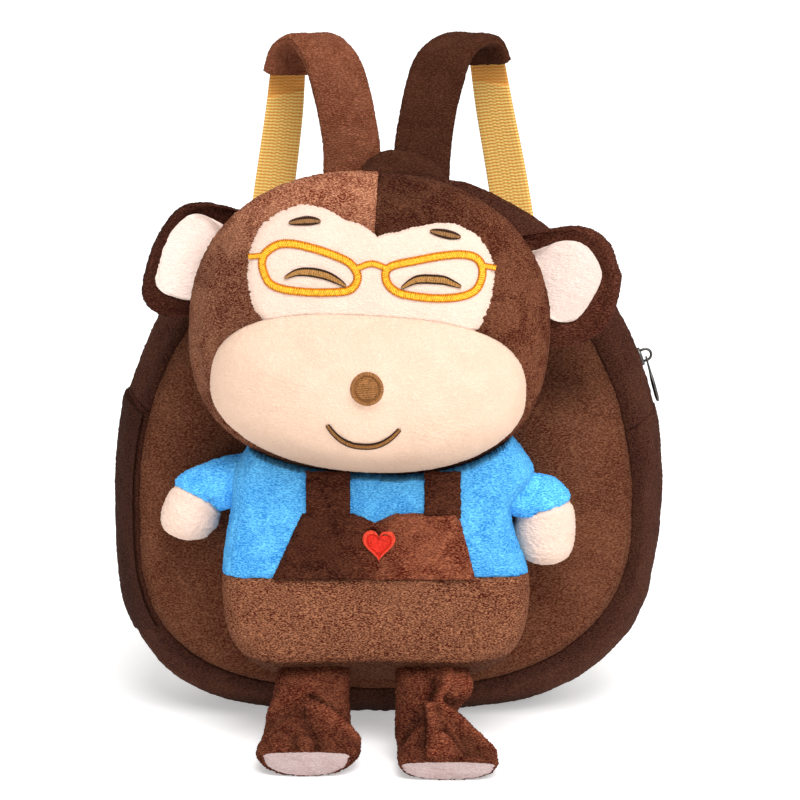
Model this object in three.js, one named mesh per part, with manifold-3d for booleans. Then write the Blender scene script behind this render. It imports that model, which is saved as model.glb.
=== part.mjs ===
// A toddler's plush backpack with a stuffed monkey doll sewn flat to its front.
//
// Millimetres, +Z up. X runs to the viewer's right, -Y faces the viewer, and the bag stands on z = 0.
// The bag is a hollow case of two padded panels and a gusset that a zip opens. The doll is made of crowned
// cushions. Each cushion has an outline, given as its reach at every angle round a centre, and a profile
// whose rows run from the middle of its front over the rim to the middle of its back.

import * as THREE from "three";
import { mergeVertices } from "three/addons/utils/BufferGeometryUtils.js";
import Module from "manifold-3d";

const wasm = await Module();
wasm.setup();

// Clearance between neighbours, the bag's padded wall, and the cloth of patches and embroidery
const GAP = 0.35;
const WALL = 2.5;
const PATCH = 1.6;
const THREAD = 1.1;
const HOLLOW = 0.5;

// Outlines of the bag seen from the front: half width, rise above and drop below the centre,
// and how square the upper and lower halves are. The left side can be narrower, and the lower right
// corner rounder, than the other side.
const BAG_CENTRE = { x: 0, z: 98 };
const FRONT_SEAM = { y: -40, half: 109.5, up: 128, down: 82, upPower: 2.2, downPower: 2.75, rightPower: 2.4 };
const CREST = {
  half: 126.5,
  leftHalf: 123.5,
  up: 148,
  down: 102,
  upPower: 2.15,
  downPower: 3.5,
  rightPower: 2.8,
};
const BACK_SEAM = {
  y: 40,
  half: 113,
  leftHalf: 111,
  up: 132,
  down: 87,
  upPower: 2.2,
  downPower: 3,
  rightPower: 2.6,
};
const GUSSET_FULLNESS = 0.8;
const FRONT_DOME = 9;
const BACK_DOME = { rise: 3, slope: 0.45 };
const PANEL_SHARES = [0, 0.4, 0.7, 0.9, 1];

// The zip runs over the top from one angle to the other and takes a narrow share of the gusset's depth
const ZIP = { from: 19.5, to: 156, low: 0.452, high: 0.548, tape: 1.1, recess: 2.3 };
const COIL = { rise: 1.1, half: 0.3 };
const SLIDER = { angle: 29.3, length: 8, width: 6, height: 2.2, floor: -0.9, nose: 0.55, tail: 0.7 };
const CROWN = { radius: 2.6, wire: 0.5, leg: 1.5 };
const PULLER = { thick: 1, neck: 8, taper: 2, tab: 3, end: 20, lean: -4 };
const EYELET = { behind: 0.6, hole: 2.3, half: 1.2, rim: 0.9 };
const POCKET = { top: 157.5, bottom: 207, low: 0.07, high: 0.93, wall: 1.9, gape: 1.2, mouth: 0.2 };

// Shoulder straps: a padded upper strap that arches up and back, then webbing down to the lower corner.
// turn is the heading of the strap's width seen from above, tip the share of the side's own lift,
// and fan the share of the side's own spread.
const STRAP_SIDES = [
  { name: "left", sign: -1, tipLift: 0, spread: 1 },
  { name: "right", sign: 1, tipLift: 5, spread: 5 },
];
const PAD = { width: 27, thick: 7, fullness: 0.6 };
const PAD_ROUTE = [
  { x: 16, y: 44.6, z: 221, turn: 0, tip: 0 },
  { x: 16.5, y: 46.6, z: 246, turn: 0, tip: 0 },
  { x: 19.5, y: 48.6, z: 272, turn: 10, tip: 0 },
  { x: 25.5, y: 54, z: 294, turn: 22, tip: 0.1 },
  { x: 35, y: 63.5, z: 304.5, turn: 33, tip: 0.4 },
  { x: 44, y: 72, z: 300, turn: 38, tip: 0.8 },
  { x: 47.5, y: 76, z: 287, turn: 35, tip: 1 },
];
const WEB = { width: 20, thick: 1.6 };
const WEB_ROUTE = [
  { x: 47.8, y: 76.4, z: 286.4, turn: 35, tip: 1, fan: 0 },
  { x: 49.5, y: 79, z: 268, turn: 27, tip: 0.7, fan: 0.4 },
  { x: 53.5, y: 81, z: 236, turn: 18, tip: 0.2, fan: 0.9 },
  { x: 60, y: 80.5, z: 190, turn: 10, tip: 0, fan: 1.1 },
  { x: 70, y: 77, z: 140, turn: 5, tip: 0, fan: 0.7 },
  { x: 80, y: 67, z: 95, turn: 0, tip: 0, fan: 0.2 },
  { x: 86, y: 50, z: 62, turn: 0, tip: 0, fan: 0 },
  { x: 89, y: 42.4, z: 44, turn: 0, tip: 0, fan: 0 },
];

// Grab loop: its foot on the gusset, how it leans back, and the arch as places across and heights
const LOOP = { y: 28, lean: 27, width: 14, thick: 4.5, fullness: 0.6 };
const LOOP_ARCH = [
  { x: -12, height: 1 },
  { x: -11, height: 6.8 },
  { x: -5, height: 13.8 },
  { x: 6, height: 15.8 },
  { x: 18, height: 13.6 },
  { x: 25.5, height: 6.8 },
  { x: 27, height: 1 },
];

// Doll's body: a boxed cushion whose front edge sits higher than its back edge
const BODY_CENTRE = { x: -4.5, z: 86 };
const BODY = { half: 67.5, up: 80, down: 64, upPower: 1.8, downPower: 4 };
// lift raises a whole row, sag raises its lower edge further, so the underside slopes back to the bag
const BODY_ROWS = [
  { share: 0, rise: 41, lift: 5, sag: 0 },
  { share: 0.5, rise: 40.3, lift: 5, sag: 2 },
  { share: 0.8, rise: 38.4, lift: 5, sag: 5 },
  { share: 0.955, rise: 34, lift: 5, sag: 8 },
  { share: 0.995, rise: 18, lift: 2.5, sag: 4 },
  { share: 1, rise: 4, lift: 0.5, sag: 1 },
];
const BODY_BACK_SHARES = [1, 0.85, 0.6, 0];
const WAIST_Z = 80.5;

// Dungarees: bib edges, its notch, and the braces that run from it up under the chin
const BIB = { top: 109.5, bottom: 81.6, topLeft: -36, topRight: 31, bottomLeft: -49, bottomRight: 38.5 };
const NOTCH = { x: -4.7, half: 6.5, depth: 5.2 };
const BRACES = [
  { name: "left", from: -34.2, to: -15.3 },
  { name: "right", from: 16.4, to: 32 },
];
const BRACE_TOP = 126;
const HEART = { x: -3, z: 96.3, half: 7.2, height: 12.6 };

// Doll's head: turned a little clockwise, its rim in the plane y = rim, crowned to the front and back
const HEAD = { x: -7, z: 188, tilt: 3.4, rim: -76, front: 30, back: 30 };
const HEAD_OUTLINE = { half: 77, up: 66.5, down: 63.5, upPower: 2.2, downPower: 2.55 };
const HEAD_POWER = 2.4;
const HEAD_SHARES = [0, 0.35, 0.65, 0.85, 0.965, 1];
const MUZZLE_CENTRE = { x: 1, z: -26.5 };
const MUZZLE_OUTLINE = { half: 67, up: 36, down: 33.5, upPower: 2.7, downPower: 2.05 };
const MUZZLE = { rise: 19, power: 2.8, edge: 0.6, slowPower: 1.7, slowFrom: 0.25, slowTo: 0.6 };
const MUZZLE_SHARES = [0, 0.4, 0.7, 0.9, 1];

// Face mask: corners of its right half from the notch down to the middle of the muzzle's edge
const MASK_CENTRE = { x: 0, z: 25 };
const MASK_CORNERS = [
  { x: 0, z: 42 },
  { x: 9, z: 44.8 },
  { x: 18, z: 48 },
  { x: 28, z: 51 },
  { x: 40, z: 46.5 },
  { x: 48, z: 38 },
  { x: 51.5, z: 27 },
  { x: 50.5, z: 15 },
  { x: 46, z: 5 },
  { x: 30, z: 5 },
  { x: 0, z: 5 },
];

// Ears stand beside the head, each a cup with a rolled rim. The corners of the rim run from its upper
// to its lower end, which both lie in the head's side.
const EARS = [
  {
    name: "left",
    x: -77,
    z: 22,
    rim: [
      { x: -57.5, z: 45.6 },
      { x: -73.6, z: 48.2 },
      { x: -85.4, z: 44.3 },
      { x: -94.6, z: 28.7 },
      { x: -98.5, z: 11 },
      { x: -96.5, z: 3.2 },
      { x: -90.6, z: -0.8 },
      { x: -75, z: -1 },
    ],
  },
  {
    name: "right",
    x: 83,
    z: 20.5,
    rim: [
      { x: 62.5, z: 42.4 },
      { x: 86.5, z: 47.5 },
      { x: 99.3, z: 42.4 },
      { x: 104.7, z: 31.9 },
      { x: 106.6, z: 24.2 },
      { x: 102.7, z: 6.2 },
      { x: 89.6, z: -3.3 },
      { x: 75, z: -5.5 },
    ],
  },
];
const EAR_Y = -67;
const EAR_ROWS = [
  { share: 0, rise: 1.5 },
  { share: 0.55, rise: 2 },
  { share: 0.74, rise: 3.4 },
  { share: 0.88, rise: 5.6 },
  { share: 0.97, rise: 4 },
  { share: 1, rise: 0 },
  { share: 0.93, rise: -3.5 },
  { share: 0.6, rise: -5 },
  { share: 0, rise: -5.5 },
];
const EAR_LINING = 0.7;

// Embroidery on the face, in the head's own frame
const NOSE = { x: 0.5, z: -18.7, radius: 6.8, rise: 1.8 };
const STROKE_END = 0.45;
const SMILE = { half: 15, low: -44.3, lift: 9, width: 2 };
const EYE = { x: 24.2, half: 12.6, low: 22.3, arch: 4.9, width: 2.2 };
const BROW = { x: 28.8, z: 45.6, half: 7, width: 4, tilt: 8.5 };
const LENS = { x: 26.2, z: 27, half: 20.3, height: 9.6, power: 2.7, slope: 0.1, stroke: 3.4 };
const BRIDGE = { half: 6, z: 30.2, bow: 0.6, width: 2.6 };
const TEMPLE = { from: 45.5, to: 52, z: 31, width: 2.6 };

// Arms: the sleeve starts inside the shirt's side and ends at the cuff, between two rows.
// The hand goes on to its tip.
const ARMS = {
  left: [
    { x: -59, y: -66, z: 120, half: 10, thick: 9 },
    { x: -74, y: -63.8, z: 116.3, half: 10.6, thick: 9.5 },
    { x: -80.5, y: -61.8, z: 113, half: 11.2, thick: 9.6 },
    { x: -84.3, y: -60, z: 107, half: 12, thick: 10.2 },
    { x: -87, y: -58.5, z: 100, half: 12.2, thick: 10.5 },
    { x: -88, y: -58, z: 94.2, half: 9, thick: 8 },
    { x: -88.4, y: -58, z: 91.5, half: 3.5, thick: 3.5 },
  ],
  right: [
    { x: 50, y: -70, z: 120, half: 9, thick: 9 },
    { x: 61, y: -68.6, z: 114.8, half: 10.4, thick: 9.5 },
    { x: 67.2, y: -67.4, z: 110, half: 11.4, thick: 10 },
    { x: 69.2, y: -66.6, z: 104.2, half: 12.4, thick: 10.4 },
    { x: 69.6, y: -66, z: 95, half: 12.8, thick: 10.8 },
    { x: 69.7, y: -66, z: 86.5, half: 10.5, thick: 9.5 },
    { x: 69.7, y: -66, z: 82.5, half: 4.5, thick: 4.5 },
  ],
};
const CUFF_ROW = 2.5;
const ARM_FULLNESS = 0.9;

// Legs: limp flattened tubes from the body's lower edge down to the floor in front.
// pitch is how steeply the leg runs down at that row.
const LEG_ROWS = [
  { y: -70, z: 37, pitch: 52, thick: 5 },
  { y: -80, z: 26, pitch: 48, thick: 6.5 },
  { y: -90, z: 16.5, pitch: 38, thick: 8.2 },
  { y: -100, z: 8.7, pitch: 28, thick: 8.5 },
  { y: -107, z: 6.4, pitch: 15, thick: 6.4 },
  { y: -112, z: 5.4, pitch: 5, thick: 5.2 },
];
// The edges of each leg at those rows: the right one bulges, is pinched at the ankle and splays to its foot
const LEGS = {
  left: [
    { from: -47, to: -16.2 },
    { from: -50, to: -15.6 },
    { from: -51.6, to: -15 },
    { from: -54.3, to: -11.6 },
    { from: -54.8, to: -12.5 },
    { from: -52.5, to: -15.5 },
  ],
  right: [
    { from: 4.2, to: 36 },
    { from: 3.9, to: 37.6 },
    { from: 4, to: 33 },
    { from: 4.7, to: 45 },
    { from: 5.3, to: 47.5 },
    { from: 6.5, to: 46.5 },
  ],
};
const LEG_FULLNESS = 0.85;
const SOLE = { share: 0.95, rise: 2.4 };

const DEGREE = Math.PI / 180;
const WELD = 1e-3;
const STEP = 0.01;

function finish(color, roughness, metalness = 0) {
  return new THREE.MeshStandardMaterial({ color, roughness, metalness });
}

const PLUSH = finish(0x623a26, 0.95);
const DARK_PLUSH = finish(0x3c2016, 0.95);
const LIGHT_PLUSH = finish(0x825242, 0.95);
const TROUSER_PLUSH = finish(0x6e3e2c, 0.95);
const PEACH = finish(0xfce8d7, 0.9);
const MUZZLE_PEACH = finish(0xf8dcc4, 0.9);
const LINING = finish(0xf6dcd6, 0.9);
const BLUE_FLEECE = finish(0x4baaf5, 0.9);
const WEBBING = finish(0xcda055, 0.8);
const YELLOW_THREAD = finish(0xf8b932, 0.6);
const BROWN_THREAD = finish(0x825a37, 0.7);
const RED_THREAD = finish(0xf04632, 0.6);
const ZIP_CLOTH = finish(0x2a1610, 0.9);
const GUNMETAL = finish(0x4a4846, 0.35, 0.9);

// Geometry helpers

function lerp(from, to, share) {
  return from + (to - from) * share;
}

// Reach of a squared oval at an angle: |cos/half|^p + |sin/height|^p = 1/reach^p
function reach(shape, angle) {
  const upper = Math.sin(angle) >= 0;
  const onRight = Math.cos(angle) >= 0;
  const lowerPower = (onRight && shape.rightPower) || shape.downPower;
  const power = upper ? shape.upPower : lowerPower;
  const half = onRight ? shape.half : (shape.leftHalf ?? shape.half);
  const across = Math.abs(Math.cos(angle)) / half;
  const along = Math.abs(Math.sin(angle)) / (upper ? shape.up : shape.down);
  return (across ** power + along ** power) ** (-1 / power);
}

// How far out a point lies, as a share of the outline's reach
function shareOf(shape, centre, x, z) {
  const angle = Math.atan2(z - centre.z, x - centre.x);
  return Math.hypot(x - centre.x, z - centre.z) / reach(shape, angle);
}

function signedVolume(points, faces) {
  const [a, b, c] = [new THREE.Vector3(), new THREE.Vector3(), new THREE.Vector3()];
  let sum = 0;
  for (let i = 0; i < faces.length; i += 3) {
    a.fromBufferAttribute(points, faces[i]);
    b.fromBufferAttribute(points, faces[i + 1]);
    c.fromBufferAttribute(points, faces[i + 2]);
    sum += a.dot(b.cross(c));
  }
  return sum;
}

// Weld the corners, drop triangles that collapsed at a pole, and turn the faces outward
function closed(geometry) {
  geometry.deleteAttribute("normal");
  geometry.deleteAttribute("uv");
  const welded = mergeVertices(geometry, WELD);
  const faces = [];
  const index = welded.index.array;
  for (let i = 0; i < index.length; i += 3) {
    const [a, b, c] = [index[i], index[i + 1], index[i + 2]];
    if (a !== b && b !== c && c !== a) {
      faces.push(a, b, c);
    }
  }
  if (signedVolume(welded.attributes.position, faces) < 0) {
    faces.reverse();
  }
  welded.setIndex(faces);
  return welded;
}

// Move every vertex of a closed three.js shape to its place on the piece
function bend(base, place) {
  const points = base.attributes.position;
  const vertex = new THREE.Vector3();
  for (let i = 0; i < points.count; i += 1) {
    vertex.fromBufferAttribute(points, i);
    const spot = place(vertex);
    points.setXYZ(i, spot.x, spot.y, spot.z);
  }
  return closed(base);
}

// A crowned body on the surface y = under(x, z); rise goes from that surface towards the viewer
function cushion(columns, centre, outline, rows, under) {
  const profile = rows.map((row, index) => new THREE.Vector2(row.share, index));
  return bend(new THREE.LatheGeometry(profile, columns), (vertex) => {
    const row = rows[Math.round(vertex.y)];
    const angle = Math.atan2(vertex.z, vertex.x);
    const distance = row.share * (outline(angle) + (row.grow ?? 0));
    const x = centre.x + distance * Math.cos(angle);
    const lift = (row.lift ?? 0) + (row.sag ?? 0) * Math.max(0, -Math.sin(angle)) ** 2;
    const z = centre.z + distance * Math.sin(angle) + lift;
    const rise = typeof row.rise === "function" ? row.rise(angle) : row.rise;
    return new THREE.Vector3(x, under(x, z) - rise, z);
  });
}

// A sheet of cloth: a box whose width and height are two shares and whose depth is its thickness
function sheet(columns, rows, place) {
  return bend(new THREE.BoxGeometry(1, 1, 1, columns, rows, 1), (vertex) => {
    return place(vertex.x + 0.5, vertex.y + 0.5, vertex.z + 0.5);
  });
}

// A limb: oval sections carried along a route, with flat ends. section(share) gives the middle,
// the two half axes as vectors, and how boxy the oval is.
function limb(sides, steps, section) {
  return bend(new THREE.CylinderGeometry(1, 1, 1, sides, steps), (vertex) => {
    const { middle, across, through, fullness } = section(vertex.y + 0.5);
    const radius = Math.min(1, Math.hypot(vertex.x, vertex.z));
    const angle = Math.atan2(vertex.z, vertex.x);
    const wide = radius * Math.sign(Math.cos(angle)) * Math.abs(Math.cos(angle)) ** fullness;
    const deep = radius * Math.sign(Math.sin(angle)) * Math.abs(Math.sin(angle)) ** fullness;
    return middle.clone().addScaledVector(across, wide).addScaledVector(through, deep);
  });
}

// Smooth reading of a table's columns at a share of its length
function reader(rows) {
  const columns = Object.keys(rows[0]);
  return (share) => {
    const place = Math.min(Math.max(share, 0), 1) * (rows.length - 1);
    const index = Math.min(Math.floor(place), rows.length - 2);
    const t = place - index;
    const pick = (offset) => rows[Math.min(Math.max(index + offset, 0), rows.length - 1)];
    const value = {};
    for (const column of columns) {
      const [a, b, c, d] = [-1, 0, 1, 2].map((offset) => pick(offset)[column]);
      const bow = 2 * a - 5 * b + 4 * c - d;
      const twist = 3 * b - a - 3 * c + d;
      value[column] = b + 0.5 * t * (c - a + t * (bow + t * twist));
    }
    return value;
  };
}

function solidOf(geometry) {
  const vertProperties = new Float32Array(geometry.attributes.position.array);
  const triVerts = new Uint32Array(geometry.index.array);
  return new wasm.Manifold(new wasm.Mesh({ numProp: 3, vertProperties, triVerts }));
}

function geometryOf(solid) {
  const mesh = solid.getMesh();
  const geometry = new THREE.BufferGeometry();
  geometry.setAttribute("position", new THREE.BufferAttribute(new Float32Array(mesh.vertProperties), 3));
  geometry.setIndex(Array.from(mesh.triVerts));
  return closed(geometry);
}

// A body less its tools, without the slivers that a cut can leave beside it
function cut(geometry, ...tools) {
  const rest = tools.reduce((solid, tool) => solid.subtract(solidOf(tool)), solidOf(geometry));
  const bodies = rest.decompose();
  return geometryOf(bodies.reduce((best, body) => (body.volume() > best.volume() ? body : best)));
}

function join(...geometries) {
  return geometryOf(geometries.map(solidOf).reduce((sum, solid) => sum.add(solid)));
}

// The side of a body that lies along normal from the plane at that distance
function halfOf(geometry, normal, distance) {
  return geometryOf(solidOf(geometry).trimByPlane(normal, distance));
}

const bag = new THREE.Group();
const head = new THREE.Group();
head.position.set(HEAD.x, 0, HEAD.z);
head.rotation.y = HEAD.tilt * DEGREE;
head.updateMatrix();
bag.add(head);

function piece(parent, name, geometry, material) {
  const mesh = new THREE.Mesh(geometry, material);
  mesh.name = name;
  parent.add(mesh);
}

// Bag panels: the front one domed, the back one flat in its middle

function frontRise(share) {
  return FRONT_DOME * (1 - Math.min(share, 1) ** 4);
}

function backRise(share) {
  return BACK_DOME.rise * Math.min(1, (1 - share) / BACK_DOME.slope);
}

function frontPanelY(x, z) {
  return FRONT_SEAM.y - frontRise(shareOf(FRONT_SEAM, BAG_CENTRE, x, z));
}

function panel(seam, outer, inner) {
  const rows = [
    ...PANEL_SHARES.map((share) => ({ share, rise: outer(share) })),
    ...PANEL_SHARES.toReversed().map((share) => ({ share, rise: inner(share) })),
  ];
  return cushion(36, BAG_CENTRE, (angle) => reach(seam, angle), rows, () => seam.y);
}

const frontPanel = panel(FRONT_SEAM, frontRise, (share) => frontRise(share) - WALL);
const backPanel = panel(BACK_SEAM, (share) => -backRise(share), (share) => WALL - backRise(share));
piece(bag, "bag_front", frontPanel, PLUSH);
piece(bag, "bag_back", backPanel, DARK_PLUSH);

// Gusset: seam to crest to seam, flattened where it stands

function gussetPoint(angle, share, lift) {
  const seams = lerp(reach(FRONT_SEAM, angle), reach(BACK_SEAM, angle), share);
  const middle = (reach(FRONT_SEAM, angle) + reach(BACK_SEAM, angle)) / 2;
  const swell = (reach(CREST, angle) - middle) * Math.sin(Math.PI * share) ** GUSSET_FULLNESS;
  const distance = seams + swell + lift;
  const z = BAG_CENTRE.z + distance * Math.sin(angle);
  const y = lerp(FRONT_SEAM.y, BACK_SEAM.y, share);
  return new THREE.Vector3(distance * Math.cos(angle), y, Math.max(z, -Math.min(lift, 0)));
}

function band(columns, rows, angles, shares, outer, inner) {
  return sheet(columns, rows, (along, across, depth) => {
    const angle = lerp(angles.from, angles.to, along) * DEGREE;
    const share = lerp(shares.low, shares.high, across);
    return gussetPoint(angle, share, lerp(inner(across, along), outer(across, along), depth));
  });
}

const depthOfBag = BACK_SEAM.y - FRONT_SEAM.y;
const edge = (WALL + GAP) / depthOfBag;
const slit = GAP / depthOfBag;
const endGap = GAP / CREST.half / DEGREE;
const wallOuter = () => 0;
const wallInner = () => -WALL;
const zipAngles = { from: ZIP.from, to: ZIP.to };
const lowerAngles = { from: ZIP.to + endGap, to: 360 + ZIP.from - endGap };
const frontStrip = { low: edge, high: ZIP.low - slit };
const backStrip = { low: ZIP.high + slit, high: 1 - edge };
const wholeBand = { low: edge, high: 1 - edge };

piece(bag, "gusset_lower", band(28, 8, lowerAngles, wholeBand, wallOuter, wallInner), DARK_PLUSH);
piece(bag, "gusset_upper_front", band(20, 3, zipAngles, frontStrip, wallOuter, wallInner), DARK_PLUSH);
piece(bag, "gusset_upper_back", band(20, 3, zipAngles, backStrip, wallOuter, wallInner), DARK_PLUSH);

function tapeOuter(across) {
  const onCoil = Math.abs(across - 0.5) < COIL.half;
  return onCoil ? COIL.rise - ZIP.recess : -ZIP.recess;
}

const tape = band(20, 4, zipAngles, ZIP, tapeOuter, () => -ZIP.recess - ZIP.tape);
piece(bag, "zip_tape", tape, ZIP_CLOTH);

// Zip slider and puller, in a frame on the crest: X runs down along the zip, Y across it, Z outward

const crestMiddle = 0.5;
const sliderSpot = gussetPoint(SLIDER.angle * DEGREE, crestMiddle, 0);
const beforeSlider = gussetPoint((SLIDER.angle - 1) * DEGREE, crestMiddle, 0);
const downZip = beforeSlider.clone().sub(sliderSpot).normalize();
const outOfBag = new THREE.Vector3().crossVectors(downZip, new THREE.Vector3(0, 1, 0)).normalize();
const acrossZip = new THREE.Vector3().crossVectors(outOfBag, downZip);
const zip = new THREE.Group();
zip.applyMatrix4(new THREE.Matrix4().makeBasis(downZip, acrossZip, outOfBag).setPosition(sliderSpot));
bag.add(zip);

const sliderTop = SLIDER.floor + SLIDER.height;
const hingeHeight = sliderTop + CROWN.leg;

function sliderBody() {
  const [long, wide] = [SLIDER.length / 2, SLIDER.width / 2];
  const outline = new THREE.Shape();
  outline.moveTo(-long, -wide * SLIDER.nose);
  outline.lineTo(-long / 2, -wide);
  outline.lineTo(long, -wide * SLIDER.tail);
  outline.lineTo(long, wide * SLIDER.tail);
  outline.lineTo(-long / 2, wide);
  outline.lineTo(-long, wide * SLIDER.nose);
  const body = new THREE.ExtrudeGeometry(outline, { depth: SLIDER.height, bevelEnabled: false });
  body.translate(0, 0, SLIDER.floor);
  return closed(body);
}

function sliderCrown() {
  const straight = CROWN.leg + CROWN.wire;
  const bow = Math.PI * CROWN.radius;
  const whole = 2 * straight + bow;
  return limb(8, 14, (share) => {
    const run = share * whole - straight;
    const onBow = Math.min(Math.max(run, 0), bow);
    const turn = onBow / CROWN.radius;
    const below = Math.abs(run - onBow);
    const out = new THREE.Vector3(Math.cos(turn), 0, Math.sin(turn));
    const middle = out.clone().multiplyScalar(CROWN.radius);
    middle.z += hingeHeight - below;
    const across = new THREE.Vector3(0, CROWN.wire, 0);
    return { middle, across, through: out.multiplyScalar(CROWN.wire), fullness: 1 };
  });
}

piece(zip, "zip_slider", join(sliderBody(), sliderCrown()), GUNMETAL);

function pullerPlate() {
  const start = CROWN.radius - EYELET.hole / 2;
  const end = CROWN.radius + EYELET.hole / 2;
  const wide = EYELET.half + EYELET.rim;
  const { neck, taper, tab, thick } = PULLER;
  const outline = new THREE.Shape();
  outline.moveTo(start - EYELET.behind, -wide);
  outline.lineTo(end + EYELET.rim, -wide);
  outline.lineTo(neck, -EYELET.rim);
  outline.lineTo(neck + taper, -tab);
  outline.lineTo(PULLER.end - taper, -tab);
  outline.quadraticCurveTo(PULLER.end, -tab, PULLER.end, 0);
  outline.quadraticCurveTo(PULLER.end, tab, PULLER.end - taper, tab);
  outline.lineTo(neck + taper, tab);
  outline.lineTo(neck, EYELET.rim);
  outline.lineTo(end + EYELET.rim, wide);
  outline.lineTo(start - EYELET.behind, wide);
  const eyelet = new THREE.Path();
  eyelet.moveTo(start, -EYELET.half);
  eyelet.lineTo(start, EYELET.half);
  eyelet.lineTo(end, EYELET.half);
  eyelet.lineTo(end, -EYELET.half);
  outline.holes.push(eyelet);
  const plate = new THREE.ExtrudeGeometry(outline, { depth: thick, bevelEnabled: false, curveSegments: 5 });
  plate.translate(0, 0, -thick / 2);
  return closed(plate);
}

const hinge = new THREE.Group();
hinge.position.z = hingeHeight;
hinge.rotation.y = -PULLER.lean * DEGREE;
zip.add(hinge);
piece(hinge, "zip_puller", pullerPlate(), GUNMETAL);

// Side pocket: a flat patch on the left gusset, its mouth standing off a little

function pocketLift(across, along) {
  const mouth = Math.max(0, 1 - along / POCKET.mouth);
  return GAP + (HOLLOW + POCKET.gape * mouth) * Math.sin(Math.PI * across);
}

const pocketAngles = { from: POCKET.top, to: POCKET.bottom };
const pocketOuter = (across, along) => pocketLift(across, along) + POCKET.wall;
piece(bag, "side_pocket", band(9, 8, pocketAngles, POCKET, pocketOuter, pocketLift), DARK_PLUSH);

// Straps

function strapSection(read, side, size, fullness) {
  return (share) => {
    const spotAt = (place) => {
      const row = read(place);
      const out = row.x + (row.fan ?? 0) * side.spread;
      return new THREE.Vector3(side.sign * out, row.y, row.z + row.tip * side.tipLift);
    };
    const middle = spotAt(share);
    const heading = spotAt(share + STEP).sub(spotAt(share - STEP)).normalize();
    const turn = -side.sign * read(share).turn * DEGREE;
    const across = new THREE.Vector3(Math.cos(turn), Math.sin(turn), 0);
    across.addScaledVector(heading, -across.dot(heading)).normalize();
    const through = new THREE.Vector3().crossVectors(heading, across);
    across.multiplyScalar(size.width / 2);
    through.multiplyScalar(size.thick / 2);
    return { middle, across, through, fullness };
  };
}

for (const side of STRAP_SIDES) {
  const padSection = strapSection(reader(PAD_ROUTE), side, PAD, PAD.fullness);
  piece(bag, `strap_pad_${side.name}`, limb(10, 14, padSection), PLUSH);
  const webSection = strapSection(reader(WEB_ROUTE), side, WEB, 1);
  const web = sheet(1, 24, (wide, along, deep) => {
    const { middle, across, through } = webSection(along);
    return middle.addScaledVector(across, 2 * wide - 1).addScaledVector(through, 2 * deep - 1);
  });
  piece(bag, `strap_web_${side.name}`, web, WEBBING);
}

// Grab loop

function loopSection() {
  const read = reader(LOOP_ARCH);
  const lean = LOOP.lean * DEGREE;
  const outward = new THREE.Vector3(0, Math.sin(lean), Math.cos(lean));
  const share = (LOOP.y - FRONT_SEAM.y) / depthOfBag;
  const spotAt = (place) => {
    const row = read(place);
    const foot = gussetPoint(Math.atan2(BACK_SEAM.up, row.x), share, 0);
    return foot.setX(row.x).addScaledVector(outward, row.height);
  };
  const across = new THREE.Vector3(0, Math.cos(lean), -Math.sin(lean)).multiplyScalar(LOOP.width / 2);
  return (place) => {
    const heading = spotAt(place + STEP).sub(spotAt(place - STEP)).normalize();
    const through = new THREE.Vector3().crossVectors(heading, across).setLength(LOOP.thick / 2);
    return { middle: spotAt(place), across, through, fullness: LOOP.fullness };
  };
}

piece(bag, "grab_loop", limb(8, 14, loopSection()), PLUSH);

// Doll's head, in the head's own frame

function headCrown(share, height) {
  return height * Math.sqrt(1 - Math.min(share, 1) ** HEAD_POWER);
}

function headFrontY(x, z) {
  return HEAD.rim - headCrown(shareOf(HEAD_OUTLINE, { x: 0, z: 0 }, x, z), HEAD.front);
}

function headBody(grow) {
  const back = HEAD_SHARES.toReversed().slice(1);
  const rows = [
    ...HEAD_SHARES.map((share) => ({ share, grow, rise: headCrown(share, HEAD.front) + grow })),
    ...back.map((share) => ({ share, grow, rise: -headCrown(share, HEAD.back) - grow })),
  ];
  const place = { x: 0, z: 0 };
  const whole = cushion(32, place, (angle) => reach(HEAD_OUTLINE, angle), rows, () => HEAD.rim);
  return bend(whole, (vertex) => {
    const inBag = vertex.clone().applyMatrix4(head.matrix);
    const wall = frontPanelY(inBag.x, inBag.z) - GAP + grow;
    return vertex.clone().setY(Math.min(vertex.y, wall));
  });
}

// A full crown at the sides and chin, and a slow rise where the upper edge is sewn flush to the face
function muzzleCrown(share, angle) {
  const out = Math.min(share, 1);
  const full = Math.sqrt(1 - out ** MUZZLE.power);
  const slow = 1 - out ** MUZZLE.slowPower;
  const upper = THREE.MathUtils.smoothstep(Math.sin(angle), MUZZLE.slowFrom, MUZZLE.slowTo);
  return MUZZLE.rise * lerp(full, slow, upper);
}

function muzzleFrontY(x, z) {
  const angle = Math.atan2(z - MUZZLE_CENTRE.z, x - MUZZLE_CENTRE.x);
  const crown = muzzleCrown(shareOf(MUZZLE_OUTLINE, MUZZLE_CENTRE, x, z), angle);
  return headFrontY(x, z) - GAP - crown - MUZZLE.edge;
}

// Backs of the muzzle and patches: seated at the rim, hollowed a little inside it
function seat(share) {
  return share < 1 ? GAP + HOLLOW : GAP;
}

function muzzleBody(grow) {
  const rows = [
    ...MUZZLE_SHARES.map((share) => {
      return { share, grow, rise: (angle) => GAP + muzzleCrown(share, angle) + MUZZLE.edge + grow };
    }),
    ...MUZZLE_SHARES.toReversed().map((share) => ({ share, grow, rise: seat(share) - 2 * grow })),
  ];
  return cushion(32, MUZZLE_CENTRE, (angle) => reach(MUZZLE_OUTLINE, angle), rows, headFrontY);
}

const headWhole = headBody(0);
const headGrown = headBody(GAP);
const muzzleGrown = muzzleBody(GAP);
piece(head, "head_left", halfOf(headWhole, [-1, 0, 0], GAP / 2), LIGHT_PLUSH);
piece(head, "head_right", halfOf(headWhole, [1, 0, 0], GAP / 2), DARK_PLUSH);
piece(head, "muzzle", muzzleBody(0), MUZZLE_PEACH);

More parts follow.
